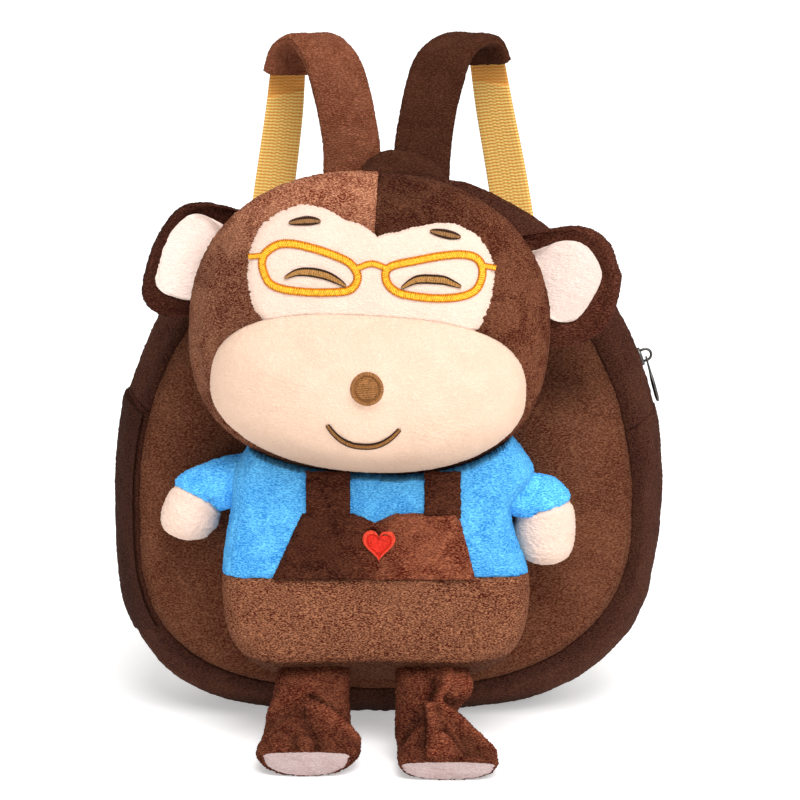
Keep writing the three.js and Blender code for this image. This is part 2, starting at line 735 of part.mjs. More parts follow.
// Reach of a many-cornered outline: where a ray from the centre meets one of its sides
function corneredReach(centre, corners, angle) {
  const toward = { x: Math.cos(angle), z: Math.sin(angle) };
  const cross = (a, b) => a.x * b.z - a.z * b.x;
  const places = corners.map((corner) => ({ x: corner.x - centre.x, z: corner.z - centre.z }));
  const meets = places.map((a, index) => {
    const b = places[(index + 1) % places.length];
    const side = { x: b.x - a.x, z: b.z - a.z };
    const share = cross(a, toward) / cross(toward, side);
    return share >= -WELD && share <= 1 + WELD ? cross(a, side) / cross(toward, side) : 0;
  });
  return Math.max(...meets);
}

function patchRows(shares, thick) {
  return [
    ...shares.map((share) => ({ share, rise: GAP + thick })),
    ...shares.toReversed().map((share) => ({ share, rise: seat(share) })),
  ];
}

const maskMirror = MASK_CORNERS.slice(1, -1).toReversed().map((corner) => ({ x: -corner.x, z: corner.z }));
const maskOutline = (angle) => corneredReach(MASK_CENTRE, [...MASK_CORNERS, ...maskMirror], angle);
const mask = cushion(32, MASK_CENTRE, maskOutline, patchRows([0, 0.4, 0.75, 1], PATCH), headFrontY);
piece(head, "face_mask", cut(mask, muzzleGrown), PEACH);

for (const ear of EARS) {
  const outline = (angle) => corneredReach(ear, ear.rim, angle);
  const cup = cushion(18, ear, outline, EAR_ROWS, () => EAR_Y);
  piece(head, `ear_${ear.name}`, cut(cup, headGrown), PLUSH);
  const lined = EAR_ROWS.slice(0, 2);
  lined.push({ share: EAR_LINING, rise: lerp(lined[1].rise, EAR_ROWS[2].rise, 0.85) });
  const rows = [
    ...lined.map((row) => ({ share: row.share, rise: row.rise + GAP + PATCH })),
    ...lined.toReversed().map((row) => ({ share: row.share, rise: row.rise + GAP })),
  ];
  const lining = cushion(18, ear, outline, rows, () => EAR_Y);
  piece(head, `ear_inner_${ear.name}`, cut(lining, headGrown), LINING);
}

// Embroidery: ribbons of satin stitch laid on the surface under them

const maskFrontY = (x, z) => headFrontY(x, z) - GAP - PATCH;

function ribbon(steps, spine, width, under) {
  return sheet(steps, 1, (along, across, depth) => {
    const spot = spine(along);
    const ahead = spine(along + STEP);
    const length = Math.hypot(ahead.x - spot.x, ahead.z - spot.z);
    const aside = (across - 0.5) * width(along) / length;
    const x = spot.x - (ahead.z - spot.z) * aside;
    const z = spot.z + (ahead.x - spot.x) * aside;
    return new THREE.Vector3(x, under(x, z) - GAP - depth * THREAD, z);
  });
}

// A stroke that thins towards both ends
function tapered(width) {
  return (along) => {
    const swell = Math.sin(Math.PI * Math.min(Math.max(along, 0), 1));
    return width * lerp(STROKE_END, 1, swell);
  };
}

const noseRows = [
  { share: 0, rise: GAP + NOSE.rise },
  { share: 0.6, rise: GAP + NOSE.rise * 0.85 },
  { share: 1, rise: GAP + NOSE.rise * 0.4 },
  { share: 1, rise: GAP },
  { share: 0.6, rise: GAP },
  { share: 0, rise: GAP },
];
piece(head, "nose", cushion(16, NOSE, () => NOSE.radius, noseRows, muzzleFrontY), BROWN_THREAD);

function smileSpine(along) {
  const t = 2 * along - 1;
  return { x: SMILE.half * t, z: SMILE.low + SMILE.lift * t * t };
}
piece(head, "smile", ribbon(14, smileSpine, tapered(SMILE.width), muzzleFrontY), BROWN_THREAD);

for (const { name, sign } of STRAP_SIDES) {
  const eyeSpine = (along) => {
    const t = 2 * along - 1;
    return { x: sign * EYE.x + EYE.half * t, z: EYE.low + EYE.arch * (1 - t * t) };
  };
  piece(head, `eye_${name}`, ribbon(10, eyeSpine, tapered(EYE.width), maskFrontY), BROWN_THREAD);
  const browSpine = (along) => {
    const out = BROW.half * (2 * along - 1);
    return { x: sign * BROW.x + out, z: BROW.z - sign * out * Math.tan(BROW.tilt * DEGREE) };
  };
  piece(head, `brow_${name}`, ribbon(8, browSpine, tapered(BROW.width), maskFrontY), BROWN_THREAD);
}

// Spectacles: two slanted rings, a bridge and two short temples in one

function lensPoint(sign, angle, inset) {
  const [cos, sin] = [Math.cos(angle), Math.sin(angle)];
  const out = (LENS.half + inset) * Math.sign(cos) * Math.abs(cos) ** (2 / LENS.power);
  const up = (LENS.height + inset) * Math.sign(sin) * Math.abs(sin) ** (2 / LENS.power);
  return { x: sign * (LENS.x + out), z: LENS.z + up + Math.max(0, sin) * LENS.slope * out };
}

function lensRing(sign) {
  const [radius, tube] = [2, 1];
  return bend(new THREE.TorusGeometry(radius, tube, 4, 18), (vertex) => {
    const angle = Math.atan2(vertex.y, vertex.x);
    const inset = (Math.hypot(vertex.x, vertex.y) - radius) * LENS.stroke / 2;
    const spot = lensPoint(sign, angle, inset);
    const depth = GAP + (vertex.z + tube) / 2 * THREAD;
    return new THREE.Vector3(spot.x, maskFrontY(spot.x, spot.z) - depth, spot.z);
  });
}

function bridgeSpine(along) {
  const t = 2 * along - 1;
  return { x: BRIDGE.half * t, z: BRIDGE.z + BRIDGE.bow * (1 - t * t) };
}

const temples = STRAP_SIDES.map(({ sign }) => {
  const spine = (along) => ({ x: sign * lerp(TEMPLE.from, TEMPLE.to, along), z: TEMPLE.z });
  return ribbon(2, spine, () => TEMPLE.width, maskFrontY);
});
const bridge = ribbon(4, bridgeSpine, () => BRIDGE.width, maskFrontY);
piece(head, "spectacles", join(lensRing(-1), lensRing(1), bridge, ...temples), YELLOW_THREAD);

// Doll's body, cut at the waist and under the chin

function bodyWhole(grow) {
  const front = BODY_ROWS.map((row) => ({ ...row, grow, rise: row.rise + GAP + grow }));
  const back = BODY_BACK_SHARES.map((share) => ({ share, grow, rise: seat(share) - 2 * grow }));
  return cushion(34, BODY_CENTRE, (angle) => reach(BODY, angle), [...front, ...back], frontPanelY);
}

const inBag = (geometry) => geometry.clone().applyMatrix4(head.matrix);
const body = cut(bodyWhole(0), inBag(headGrown), inBag(muzzleGrown));
const bodyGrown = bodyWhole(GAP);
piece(bag, "shirt", halfOf(body, [0, 0, 1], WAIST_Z + GAP / 2), BLUE_FLEECE);
piece(bag, "trousers", halfOf(body, [0, 0, -1], GAP / 2 - WAIST_Z), TROUSER_PLUSH);

// Front of the body read from its profile table
function bodyFrontY(x, z) {
  const lifted = { x: BODY_CENTRE.x, z: BODY_CENTRE.z + BODY_ROWS[0].lift };
  const share = Math.min(shareOf(BODY, lifted, x, z), BODY_ROWS[3].share);
  const next = BODY_ROWS.findIndex((row) => row.share >= share && row.share > 0);
  const [low, high] = [BODY_ROWS[next - 1], BODY_ROWS[next]];
  const rise = lerp(low.rise, high.rise, (share - low.share) / (high.share - low.share));
  return frontPanelY(x, z) - GAP - rise;
}

const bib = sheet(12, 3, (across, up, depth) => {
  const left = lerp(BIB.bottomLeft, BIB.topLeft, up);
  const right = lerp(BIB.bottomRight, BIB.topRight, up);
  const x = lerp(left, right, across);
  const dip = NOTCH.depth * Math.max(0, 1 - Math.abs(x - NOTCH.x) / NOTCH.half);
  const z = lerp(BIB.bottom, BIB.top - dip, up);
  return new THREE.Vector3(x, bodyFrontY(x, z) - 2 * GAP - depth * PATCH, z);
});
piece(bag, "bib", bib, TROUSER_PLUSH);

for (const brace of BRACES) {
  const strip = sheet(2, 5, (across, up, depth) => {
    const x = lerp(brace.from, brace.to, across);
    const z = lerp(BIB.top + GAP, BRACE_TOP, up);
    return new THREE.Vector3(x, bodyFrontY(x, z) - 2 * GAP - depth * PATCH, z);
  });
  piece(bag, `brace_${brace.name}`, cut(strip, inBag(headGrown), inBag(muzzleGrown)), TROUSER_PLUSH);
}

function heartPatch() {
  const { half, height } = HEART;
  const outline = new THREE.Shape();
  outline.moveTo(0, -height / 2);
  outline.bezierCurveTo(-half * 0.5, -height * 0.3, -half, 0, -half, height * 0.2);
  outline.bezierCurveTo(-half, height * 0.58, -half * 0.2, height * 0.62, 0, height * 0.3);
  outline.bezierCurveTo(half * 0.2, height * 0.62, half, height * 0.58, half, height * 0.2);
  outline.bezierCurveTo(half, 0, half * 0.5, -height * 0.3, 0, -height / 2);
  const flat = new THREE.ExtrudeGeometry(outline, { depth: THREAD, bevelEnabled: false, curveSegments: 6 });
  return bend(flat, (vertex) => {
    const [x, z] = [HEART.x + vertex.x, HEART.z + vertex.y];
    return new THREE.Vector3(x, bodyFrontY(x, z) - 3 * GAP - PATCH - vertex.z, z);
  });
}
piece(bag, "heart", heartPatch(), RED_THREAD);

// Arms

function armSection(rows, from, to) {
  const read = reader(rows);
  const spotAt = (place) => {
    const row = read(place);
    return new THREE.Vector3(row.x, row.y, row.z);
  };
  const backward = new THREE.Vector3(0, 1, 0);
  return (share) => {
    const place = lerp(from, to, share);
    const heading = spotAt(place + STEP).sub(spotAt(place - STEP)).normalize();
    const across = new THREE.Vector3().crossVectors(heading, backward).setLength(read(place).half);
    const through = new THREE.Vector3().crossVectors(across, heading).setLength(read(place).thick);
    return { middle: spotAt(place), across, through, fullness: ARM_FULLNESS };
  };
}

for (const [name, rows] of Object.entries(ARMS)) {
  const cuff = CUFF_ROW / (rows.length - 1);
  const seam = 0.012;
  const sleeve = limb(12, 5, armSection(rows, 0, cuff));
  const hand = limb(12, 7, armSection(rows, cuff + seam, 1));
  piece(bag, `sleeve_${name}`, cut(sleeve, bodyGrown, inBag(headGrown), inBag(muzzleGrown)), BLUE_FLEECE);
  piece(bag, `hand_${name}`, cut(hand, bodyGrown), PEACH);
}

// Legs and soles

function legSection(edges) {
  const read = reader(LEG_ROWS);
  const readEdges = reader(edges);
  return (share) => {
    const row = read(share);
    const { from, to } = readEdges(share);
    const pitch = row.pitch * DEGREE;
    const middle = new THREE.Vector3((from + to) / 2, row.y, row.z);
    const across = new THREE.Vector3((to - from) / 2, 0, 0);
    const through = new THREE.Vector3(0, -Math.sin(pitch), Math.cos(pitch)).multiplyScalar(row.thick);
    return { middle, across, through, fullness: LEG_FULLNESS };
  };
}

for (const [name, edges] of Object.entries(LEGS)) {
  const section = legSection(edges);
  piece(bag, `leg_${name}`, cut(limb(12, 8, section), bodyGrown), TROUSER_PLUSH);
  const end = section(1);
  const onward = new THREE.Vector3().crossVectors(end.across, end.through).normalize();
  const rows = [
    { share: 0, rise: GAP + SOLE.rise },
    { share: SOLE.share * 0.7, rise: GAP + SOLE.rise * 0.8 },
    { share: SOLE.share, rise: GAP },
    { share: 0, rise: GAP },
  ];
  const profile = rows.map((row, index) => new THREE.Vector2(row.share, index));
  const sole = bend(new THREE.LatheGeometry(profile, 14), (vertex) => {
    const row = rows[Math.round(vertex.y)];
    const spot = end.middle.clone().addScaledVector(end.across, vertex.x);
    return spot.addScaledVector(end.through, vertex.z).addScaledVector(onward, row.rise);
  });
  piece(bag, `sole_${name}`, sole, LINING);
}

// Origin at the middle of the whole outline, on the floor

bag.updateMatrixWorld(true);
const box = new THREE.Box3().setFromObject(bag, true);
const middle = box.getCenter(new THREE.Vector3());
bag.position.set(-middle.x, -middle.y, -box.min.z);
const backpack = new THREE.Group();
backpack.add(bag);

export default backpack;
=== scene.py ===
# %% [markdown]
# # A plush backpack with a monkey doll on its front
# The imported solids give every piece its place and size. This lesson dresses them: each solid is replaced by
# a dense skin of cloth that is worked out with numpy, in millimetres, in the bag's own frame. There x = 0
# is the bag's middle, y = 0 the plane of its widest outline, -y faces the viewer, and z = 0 is the floor.

# %% Frame and units
from collections import namedtuple

import bpy
import numpy as np
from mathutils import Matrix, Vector


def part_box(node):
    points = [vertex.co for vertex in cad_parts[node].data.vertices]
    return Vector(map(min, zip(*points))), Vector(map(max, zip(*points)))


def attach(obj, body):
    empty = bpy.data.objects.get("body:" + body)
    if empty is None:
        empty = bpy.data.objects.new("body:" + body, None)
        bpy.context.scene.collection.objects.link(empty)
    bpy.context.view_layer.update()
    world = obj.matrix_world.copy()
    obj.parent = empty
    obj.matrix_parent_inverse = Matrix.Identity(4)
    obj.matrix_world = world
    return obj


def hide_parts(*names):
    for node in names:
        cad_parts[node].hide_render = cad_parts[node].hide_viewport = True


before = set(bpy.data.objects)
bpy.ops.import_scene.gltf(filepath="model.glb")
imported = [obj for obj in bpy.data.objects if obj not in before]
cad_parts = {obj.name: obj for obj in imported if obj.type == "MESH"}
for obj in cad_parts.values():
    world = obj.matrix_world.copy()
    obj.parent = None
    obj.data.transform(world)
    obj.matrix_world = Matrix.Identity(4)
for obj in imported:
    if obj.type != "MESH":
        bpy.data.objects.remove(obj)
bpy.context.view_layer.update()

MM = 0.001
BACK_FACE_Y = 43.0
front_low, front_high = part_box("bag_front")
back_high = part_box("bag_back")[1]
ORIGIN = np.array([(front_low.x + front_high.x) / 2, back_high.y - BACK_FACE_Y * MM, 0.0])
print("bag's middle in the packed frame, mm:", np.round(ORIGIN / MM, 2))

# %% [markdown]
# ## Camera
# The photograph looks down on the bag at about 10 degrees, through a long lens from 1.2 m away. Aiming a
# camera at the middle of the picture with no shift keeps the same view usable from every other side.

# %% Camera
EYE_LEVEL = np.radians(10.0)
EYE_DISTANCE = 1200.0
LENS_MM = 117.39
LOOK_AT = np.array([6.0, 0.0, 142.83])


def placed(point):
    """A point of the bag's own frame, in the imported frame's metres."""
    return np.asarray(point) * MM + ORIGIN


camera = bpy.data.objects.new("camera", bpy.data.cameras.new("camera"))
bpy.context.collection.objects.link(camera)
toward = np.array([0.0, np.cos(EYE_LEVEL), -np.sin(EYE_LEVEL)])
camera.location = placed(LOOK_AT - EYE_DISTANCE * toward)
camera.rotation_euler = Vector(toward).to_track_quat("-Z", "Y").to_euler()
camera.data.lens = LENS_MM
bpy.context.scene.camera = camera

# %% [markdown]
# ## Light and floor
# The bag stands on white paper in a bright studio. A white world gives the even light, one broad soft lamp
# in front and above gives the forms their shade, a small one to the right the highlights. The paper is
# plain, and glows a little, because in the real studio it is lit from all round and throws light up under
# the bag.

# %% Light and floor
world = bpy.data.worlds.new("studio")
bpy.context.scene.world = world
world.use_nodes = True
world.node_tree.nodes["Background"].inputs["Color"].default_value = (1.0, 1.0, 1.0, 1.0)
world.node_tree.nodes["Background"].inputs["Strength"].default_value = 0.5
bpy.context.scene.view_settings.view_transform = "Standard"


def aimed(lamp_name, kind, place, power):
    """A lamp at a place in millimetres, aimed at the middle of the bag."""
    lamp = bpy.data.objects.new(lamp_name, bpy.data.lights.new(lamp_name, kind))
    bpy.context.collection.objects.link(lamp)
    lamp.location = placed(place)
    lamp.rotation_euler = (Vector(placed(LOOK_AT)) - lamp.location).to_track_quat("-Z", "Y").to_euler()
    lamp.data.energy = power
    return lamp.data


aimed("skylight", "SUN", (120.0, -800.0, 1200.0), 2.1).angle = np.radians(30.0)
aimed("key", "AREA", (650.0, -900.0, 800.0), 5.0).size = 0.5

FLOOR_HALF = 30.0
FLOOR_DROP = -0.0004
floor_mesh = bpy.data.meshes.new("floor")
floor_corners = FLOOR_HALF * np.array([(-1, -1), (1, -1), (1, 1), (-1, 1)])
floor_points = np.column_stack([floor_corners, np.full(4, FLOOR_DROP)])
floor_mesh.from_pydata(floor_points.tolist(), [], [(0, 1, 2, 3)])
floor = bpy.data.objects.new("floor", floor_mesh)
bpy.context.collection.objects.link(floor)

# %% [markdown]
# ## Noise and curves
# Cloth is never quite smooth, so every shape gets a little smooth noise. It comes from random numbers on a
# lattice of cells, made by mixing each cell's own place, so it is the same on every run.

# %% Noise
# large odd numbers that stir the bits of a cell's three places, of a seed and of the result
CELL_MIXERS, SEED_MIXER, LAST_MIXER = (73856093, 19349663, 83492791), 26544357, 1274126177
LOW_BITS = 0x7FFFFFFF
STEPS = 65536


def scatter(cells, seed):
    """One number from 0 to 1 for each whole-number cell: its three places and the seed, mixed."""
    mixed = (seed + 1) * SEED_MIXER
    for axis, mixer in enumerate(CELL_MIXERS):
        mixed = cells[..., axis] * mixer ^ mixed
    mixed = (mixed ^ (mixed >> 13)) * LAST_MIXER & LOW_BITS
    return ((mixed ^ (mixed >> 15)) % STEPS) / STEPS


def toss(count, seed):
    """One number from 0 to 1 for each of a count of things."""
    return scatter(np.arange(count)[:, None] * np.array([1, 3, 5]), seed)


def cloud(points, cell, seed):
    """Smooth noise from -1 to 1: the numbers at a cell's eight corners, blended by smooth steps."""
    place = np.asarray(points) / cell
    corner = np.floor(place).astype(np.int64)
    ease = place - corner
    ease = ease * ease * (3 - 2 * ease)
    total = 0.0
    for step in np.ndindex(2, 2, 2):
        weight = np.prod(np.where(step, ease, 1 - ease), axis=-1)
        total = total + weight * scatter(corner + step, seed)
    return 2 * total - 1


def smooth(value, start, end):
    """0 before start, 1 after end, and a smooth step between them."""
    t = np.clip((value - start) / (end - start), 0, 1)
    return t * t * (3 - 2 * t)


def hump(value, width):
    """A bell of height 1 about 0."""
    return np.exp(-((value / width) ** 2))


def lerp(start, end, share):
    """The value that lies at a share of the way from start to end."""
    return start + (end - start) * share


def glide(table, share):
    """Rows of a table read at shares of its length, on a smooth curve through every row."""
    rows = np.asarray(table, dtype=float)
    place = np.clip(share, 0, 1) * (len(rows) - 1)
    index = np.minimum(place.astype(int), len(rows) - 2)
    t = (place - index)[..., None]
    a, b, c, d = (rows[np.clip(index + step, 0, len(rows) - 1)] for step in (-1, 0, 1, 2))
    return b + 0.5 * t * (c - a + t * (2 * a - 5 * b + 4 * c - d + t * (3 * b - a - 3 * c + d)))


def bent(value, power):
    """A power of the size of a value, with its sign kept."""
    return np.sign(value) * np.abs(value) ** power


def stacked(*parts):
    """Arrays spread to one shape, as the parts of one array of points."""
    return np.stack(np.broadcast_arrays(*parts), axis=-1)


def unit(vectors):
    """Vectors at length 1."""
    return vectors / np.linalg.norm(vectors, axis=-1, keepdims=True)


def square_to(vectors, heading):
    """Unit vectors turned square to a heading."""
    return unit(vectors - heading * np.sum(vectors * heading, axis=1, keepdims=True))


def run_along(line):
    """The distance covered along a line at each of its points."""
    return np.concatenate([[0], np.cumsum(np.linalg.norm(np.diff(line, axis=0), axis=1))])


# %% [markdown]
# ## From a grid to a mesh
# Every piece is a closed grid: its columns wrap round the piece, and a first or last row whose points all
# meet becomes one pole, or a hem if they meet in pairs. The faces are whole arrays of indices, and the sign
# of the volume says which way is out.

# %% Skin
MEETING = 1e-9


def skin(grid):
    """Points, quads, triangle fans at the poles, and the point that each grid place has."""
    rows, columns = grid.shape[:2]
    ids = np.arange(rows * columns).reshape(rows, columns)
    met = np.ptp(grid, axis=1).max(axis=1) < MEETING
    ids[met] = ids[met][:, :1]
    half = columns // 2
    for row in (0, -1):
        if not met[row] and np.abs(grid[row, :half] - grid[row, ::-1][:half]).max() < MEETING:
            ids[row, columns - half:] = ids[row, :half][::-1]
    if np.abs(grid[0] - grid[-1]).max() < MEETING:
        ids[-1] = ids[0]
    ring = np.hstack([ids, ids[:, :1]])
    quads = np.stack([ring[:-1, :-1], ring[1:, :-1], ring[1:, 1:], ring[:-1, 1:]], axis=-1).reshape(-1, 4)
    used = np.unique(quads)
    quads = np.searchsorted(used, quads)
    points = grid.reshape(-1, 3)[used]
    start = quads[:, 0] == quads[:, 3]
    end = quads[:, 1] == quads[:, 2]
    fans = np.vstack([quads[start][:, :3], quads[end & ~start][:, [0, 1, 3]]])
    quads = quads[~(start | end)]
    corners = [points[quads[:, i]] for i in range(4)]
    volume = np.sum(np.cross(corners[0], corners[1]) * corners[2])
    volume += np.sum(np.cross(corners[0], corners[2]) * corners[3])
    if volume < 0:
        quads, fans = quads[:, ::-1], fans[:, ::-1]
    return points, quads, fans, np.searchsorted(used, ids)


def capped(grid):
    """The grid with one more row at each end, where all its points meet in that end's middle."""
    ends = [np.broadcast_to(row.mean(axis=0), row.shape)[None] for row in (grid[0], grid[-1])]
    return np.concatenate([ends[0], grid, ends[1]])


def hemmed(grid):
    """The grid with one more row at each end, where its face and its back meet in a hem."""
    ends = [(row + row[::-1])[None] / 2 for row in (grid[0], grid[-1])]
    return np.concatenate([ends[0], grid, ends[1]])


PILE_CELL = np.array([1.6, 1.6, 0.9])
TUFT_SEED = 7


def make(node, grids, finish, slot, nap=0.0, fuzz=0.0, cell=1.0, marks=None, pile_and_painted_light=None, body="bag",
         fill=None):
    """One piece that stands for a solid: grids skinned and joined, its pile raised along the normals.

    nap is the height of soft waves in the pile, and fuzz that of single tufts, few of which stand up far and
    none where the grid has no room. marks are three numbers for each place of a grid. How its pile lies,
    and the light and shade painted on it, come in stops of light: one number, a number for each place, or a
    function of the grid. fill is not used.
    """
    grids = grids if isinstance(grids, list) else [grids]
    points, faces, notes, pile_and_light_stops, room, count = [], [], [], [], [], 0
    for number, grid in enumerate(grids):
        own, quads, fans, ids = skin(grid)
        gaps = np.zeros(len(own))
        gaps[ids] = np.linalg.norm(np.roll(grid, -1, axis=1) - grid, axis=-1)
        room.append(smooth(gaps, 0.1, 0.35))
        faces += (quads + count).tolist() + (fans + count).tolist()
        if marks is not None:
            note = np.zeros((len(own), 3))
            note[ids] = marks[number]
            notes.append(note)
        # the pile's lie and the light and shade painted on the piece, together in stops of light
        if pile_and_painted_light is not None:
            stops = np.zeros(len(own))
            stops[ids] = pile_and_painted_light(grid) if callable(pile_and_painted_light) else pile_and_painted_light
            pile_and_light_stops.append(stops)
        points.append(own)
        count += len(own)
    points = np.vstack(points)
    mesh = bpy.data.meshes.new("sewn_" + node)
    mesh.from_pydata(placed(points), [], faces)
    if nap:
        raw = np.empty(3 * count)
        mesh.vertices.foreach_get("normal", raw)
        tufts = toss(count, TUFT_SEED) ** 3 * np.concatenate(room)
        raised = nap * cloud(points, cell * PILE_CELL, len(node)) + fuzz * tufts
        points = points + raw.reshape(-1, 3) * raised[:, None]
        mesh.vertices.foreach_set("co", placed(points).ravel())
    if notes:
        layer = mesh.attributes.new("cloth", "FLOAT_VECTOR", "POINT")
        layer.data.foreach_set("vector", np.vstack(notes).ravel())
    if pile_and_light_stops:
        layer = mesh.attributes.new("pile_and_painted_light", "FLOAT", "POINT")
        layer.data.foreach_set("value", np.concatenate(pile_and_light_stops))
    mesh.shade_smooth()
    mesh.materials.append(finish)
    piece = bpy.data.objects.new("sewn_" + node, mesh)
    bpy.context.collection.objects.link(piece)
    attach(piece, body)
    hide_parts(node)
    print(piece.name, len(mesh.polygons), "faces")
    return piece


# %% [markdown]
# ## Stuffing and slack
# Padded cloth takes its last form from the stuffing that presses it out and from the seams that hold it. A
# cloth simulation on every few points of a grid finds that form: seam points are pinned, a pressure pushes
# the rest, and cloth that was cut with slack grows a little, so it buckles into folds. It runs at a
# hundredth of a metre to the millimetre, the size that the solver's own values suit, and the moves are
# blended onto the fine grid.

# %% Cloth simulation
SOLVER_SCALE = 0.01
SOLVER_FRAMES = 20


def spread(field, rows, columns, shape):
    """A coarse field read between its rows and, round the wrap, between its columns."""
    row_place = np.interp(np.arange(shape[0]), rows, np.arange(len(rows)))
    column_place = np.interp(np.arange(shape[1]), [*columns, shape[1]], np.arange(len(columns) + 1))
    ring = np.concatenate([field, field[:, :1]], axis=1)
    r = np.minimum(row_place.astype(int), len(rows) - 2)
    c = np.minimum(column_place.astype(int), len(columns) - 1)
    aside = (column_place - c)[None, :, None]
    above = lerp(ring[r][:, c], ring[r][:, c + 1], aside)
    below = lerp(ring[r + 1][:, c], ring[r + 1][:, c + 1], aside)
    return lerp(above, below, (row_place - r)[:, None, None])


def settle(grid, held, pressure, slack, most, stride, bending=0.5):
    """Cloth moves for a grid: held marks its pinned places, most caps a move in mm, stride thins the grid."""
    shape = grid.shape[:2]
    rows = np.unique(np.append(np.arange(0, shape[0], stride[0]), shape[0] - 1))
    columns = np.arange(0, shape[1] - stride[1] + 1, stride[1])
    points, quads, fans, ids = skin(grid[rows][:, columns])
    mesh = bpy.data.meshes.new("settling")
    mesh.from_pydata(points * SOLVER_SCALE, [], quads.tolist() + fans.tolist())
    body = bpy.data.objects.new("settling", mesh)
    bpy.context.collection.objects.link(body)
    pins = np.unique(ids[np.broadcast_to(held, shape)[rows][:, columns]])
    body.vertex_groups.new(name="seams").add(pins.tolist(), 1.0, "REPLACE")
    solver = body.modifiers.new("cloth", "CLOTH")
    solver.point_cache.frame_start, solver.point_cache.frame_end = 1, SOLVER_FRAMES
    rules = solver.settings
    rules.vertex_group_mass = "seams"
    rules.use_pressure = True
    rules.uniform_pressure_force = pressure
    rules.shrink_min = -slack
    rules.bending_stiffness = bending
    rules.effector_weights.gravity = 0.0
    for frame_number in range(1, SOLVER_FRAMES + 1):
        bpy.context.scene.frame_set(frame_number)
    settled = body.evaluated_get(bpy.context.evaluated_depsgraph_get())
    ends = np.empty(3 * len(points))
    settled.data.vertices.foreach_get("co", ends)
    moves = ends.reshape(-1, 3) / SOLVER_SCALE - points
    length = np.linalg.norm(moves, axis=1, keepdims=True)
    moves = moves * np.tanh(length / most) * most / np.maximum(length, 1e-6)
    bpy.data.objects.remove(body)
    bpy.data.meshes.remove(mesh)
    bpy.context.scene.frame_set(1)
    print("settled", len(points), "points, mean move", round(float(length.mean()), 2), "mm")
    return grid + spread(moves[ids], rows, columns, shape)


# %% [markdown]
# ## Finishes
# Plush is a knitted ground with short cut pile. The pile stands in small tufts that lie along the knit's
# rows, so close up it is a mass of short dashes, and where it was stroked it shows crisp lighter and darker
# patches. One node group makes both for every cloth, as a colour and a height. How the pile of a whole
# piece lies comes with the mesh, and so does the light and shade painted on it: this number, in stops of
# light, makes the cloth lighter or darker.


# %% Node helpers
def put(tree, kind, inputs=None, **settings):
    """A new node: settings are its own values, inputs its sockets' values or the sockets linked into them."""
    node = tree.nodes.new("ShaderNode" + kind)
    for key, value in settings.items():
        setattr(node, key, value)
    for key, value in (inputs or {}).items():
        if isinstance(value, bpy.types.NodeSocket):
            tree.links.new(value, node.inputs[key])
        else:
            node.inputs[key].default_value = value
    return node


def sums(tree, operation, first, second):
    """The output of a Math node."""
    return put(tree, "Math", {0: first, 1: second}, operation=operation).outputs[0]


def blend(tree, share, first, second):
    """The output of a node that mixes two colours."""
    return put(tree, "Mix", {0: share, 6: first, 7: second}, data_type="RGBA").outputs[2]


def emboss(tree, shader, height, strength, distance):
    """A bump from a height, linked to the shader's normal."""
    raised = put(tree, "Bump", {"Height": height, "Strength": strength, "Distance": distance})
    tree.links.new(raised.outputs[0], shader.inputs["Normal"])


def paint(red, green, blue):
    """A screen colour from 0 to 255 as the linear colour that a shader takes."""
    screen = np.array([red, green, blue]) / 255
    linear = np.where(screen <= 0.04045, screen / 12.92, ((screen + 0.055) / 1.055) ** 2.4)
    return (*linear.tolist(), 1.0)


def group(name, takes, gives):
    """An empty node group with its named inputs and outputs, and the two nodes that hold them."""
    tree = bpy.data.node_groups.new(name, "ShaderNodeTree")
    for direction, sockets in (("INPUT", takes), ("OUTPUT", gives)):
        for label, kind in sockets.items():
            tree.interface.new_socket(label, in_out=direction, socket_type="NodeSocket" + kind)
    return tree, tree.nodes.new("NodeGroupInput"), tree.nodes.new("NodeGroupOutput")


# %% Nap of the pile
NAP_INPUTS = {
    "Deep": "Color",
    "Light": "Color",
    "Tuft size": "Float",
    "Tuft amount": "Float",
    "Patch size": "Float",
    "Patch amount": "Float",
}
nap_group, nap_in, nap_out = group("nap", NAP_INPUTS, {"Color": "Color", "Height": "Float"})


def swing(texture, narrow, amount):
    """The middle range of a noise stretched to run from -1 to 1, times one of the group's amounts."""
    limits = {"From Min": 0.5 - narrow, "From Max": 0.5 + narrow, "To Min": -1.0, "To Max": 1.0}
    noise = {"Value": texture.outputs["Fac"], **limits}
    value = put(nap_group, "MapRange", noise, interpolation_type="SMOOTHSTEP").outputs[0]
    return sums(nap_group, "MULTIPLY", value, nap_in.outputs[amount])


# tufts are longer along the knit's rows than across them
TUFT_STRETCH = (0.4, 0.4, 1.0)
TUFT_NOISE = {"Detail": 1.0, "Roughness": 0.6, "Distortion": 0.2}
PATCH_NOISE = {"Detail": 1.5, "Distortion": 1.0}
TUFT_RANGE, PATCH_RANGE = 0.18, 0.2
where = put(nap_group, "TexCoord").outputs["Object"]
laid = put(nap_group, "Mapping", {"Vector": where, "Scale": TUFT_STRETCH}).outputs[0]
tuft_scale = sums(nap_group, "DIVIDE", 1.0, nap_in.outputs["Tuft size"])
patch_scale = sums(nap_group, "DIVIDE", 1.0, nap_in.outputs["Patch size"])
tufts = put(nap_group, "TexNoise", {"Vector": laid, "Scale": tuft_scale, **TUFT_NOISE})
patches = put(nap_group, "TexNoise", {"Vector": where, "Scale": patch_scale, **PATCH_NOISE})
tuft_swing = swing(tufts, TUFT_RANGE, "Tuft amount")
patch_swing = swing(patches, PATCH_RANGE, "Patch amount")
both = sums(nap_group, "ADD", tuft_swing, patch_swing)
lit = put(nap_group, "MapRange", {"Value": both, "From Min": -1.0, "From Max": 1.0}).outputs[0]
tone = blend(nap_group, lit, nap_in.outputs["Deep"], nap_in.outputs["Light"])
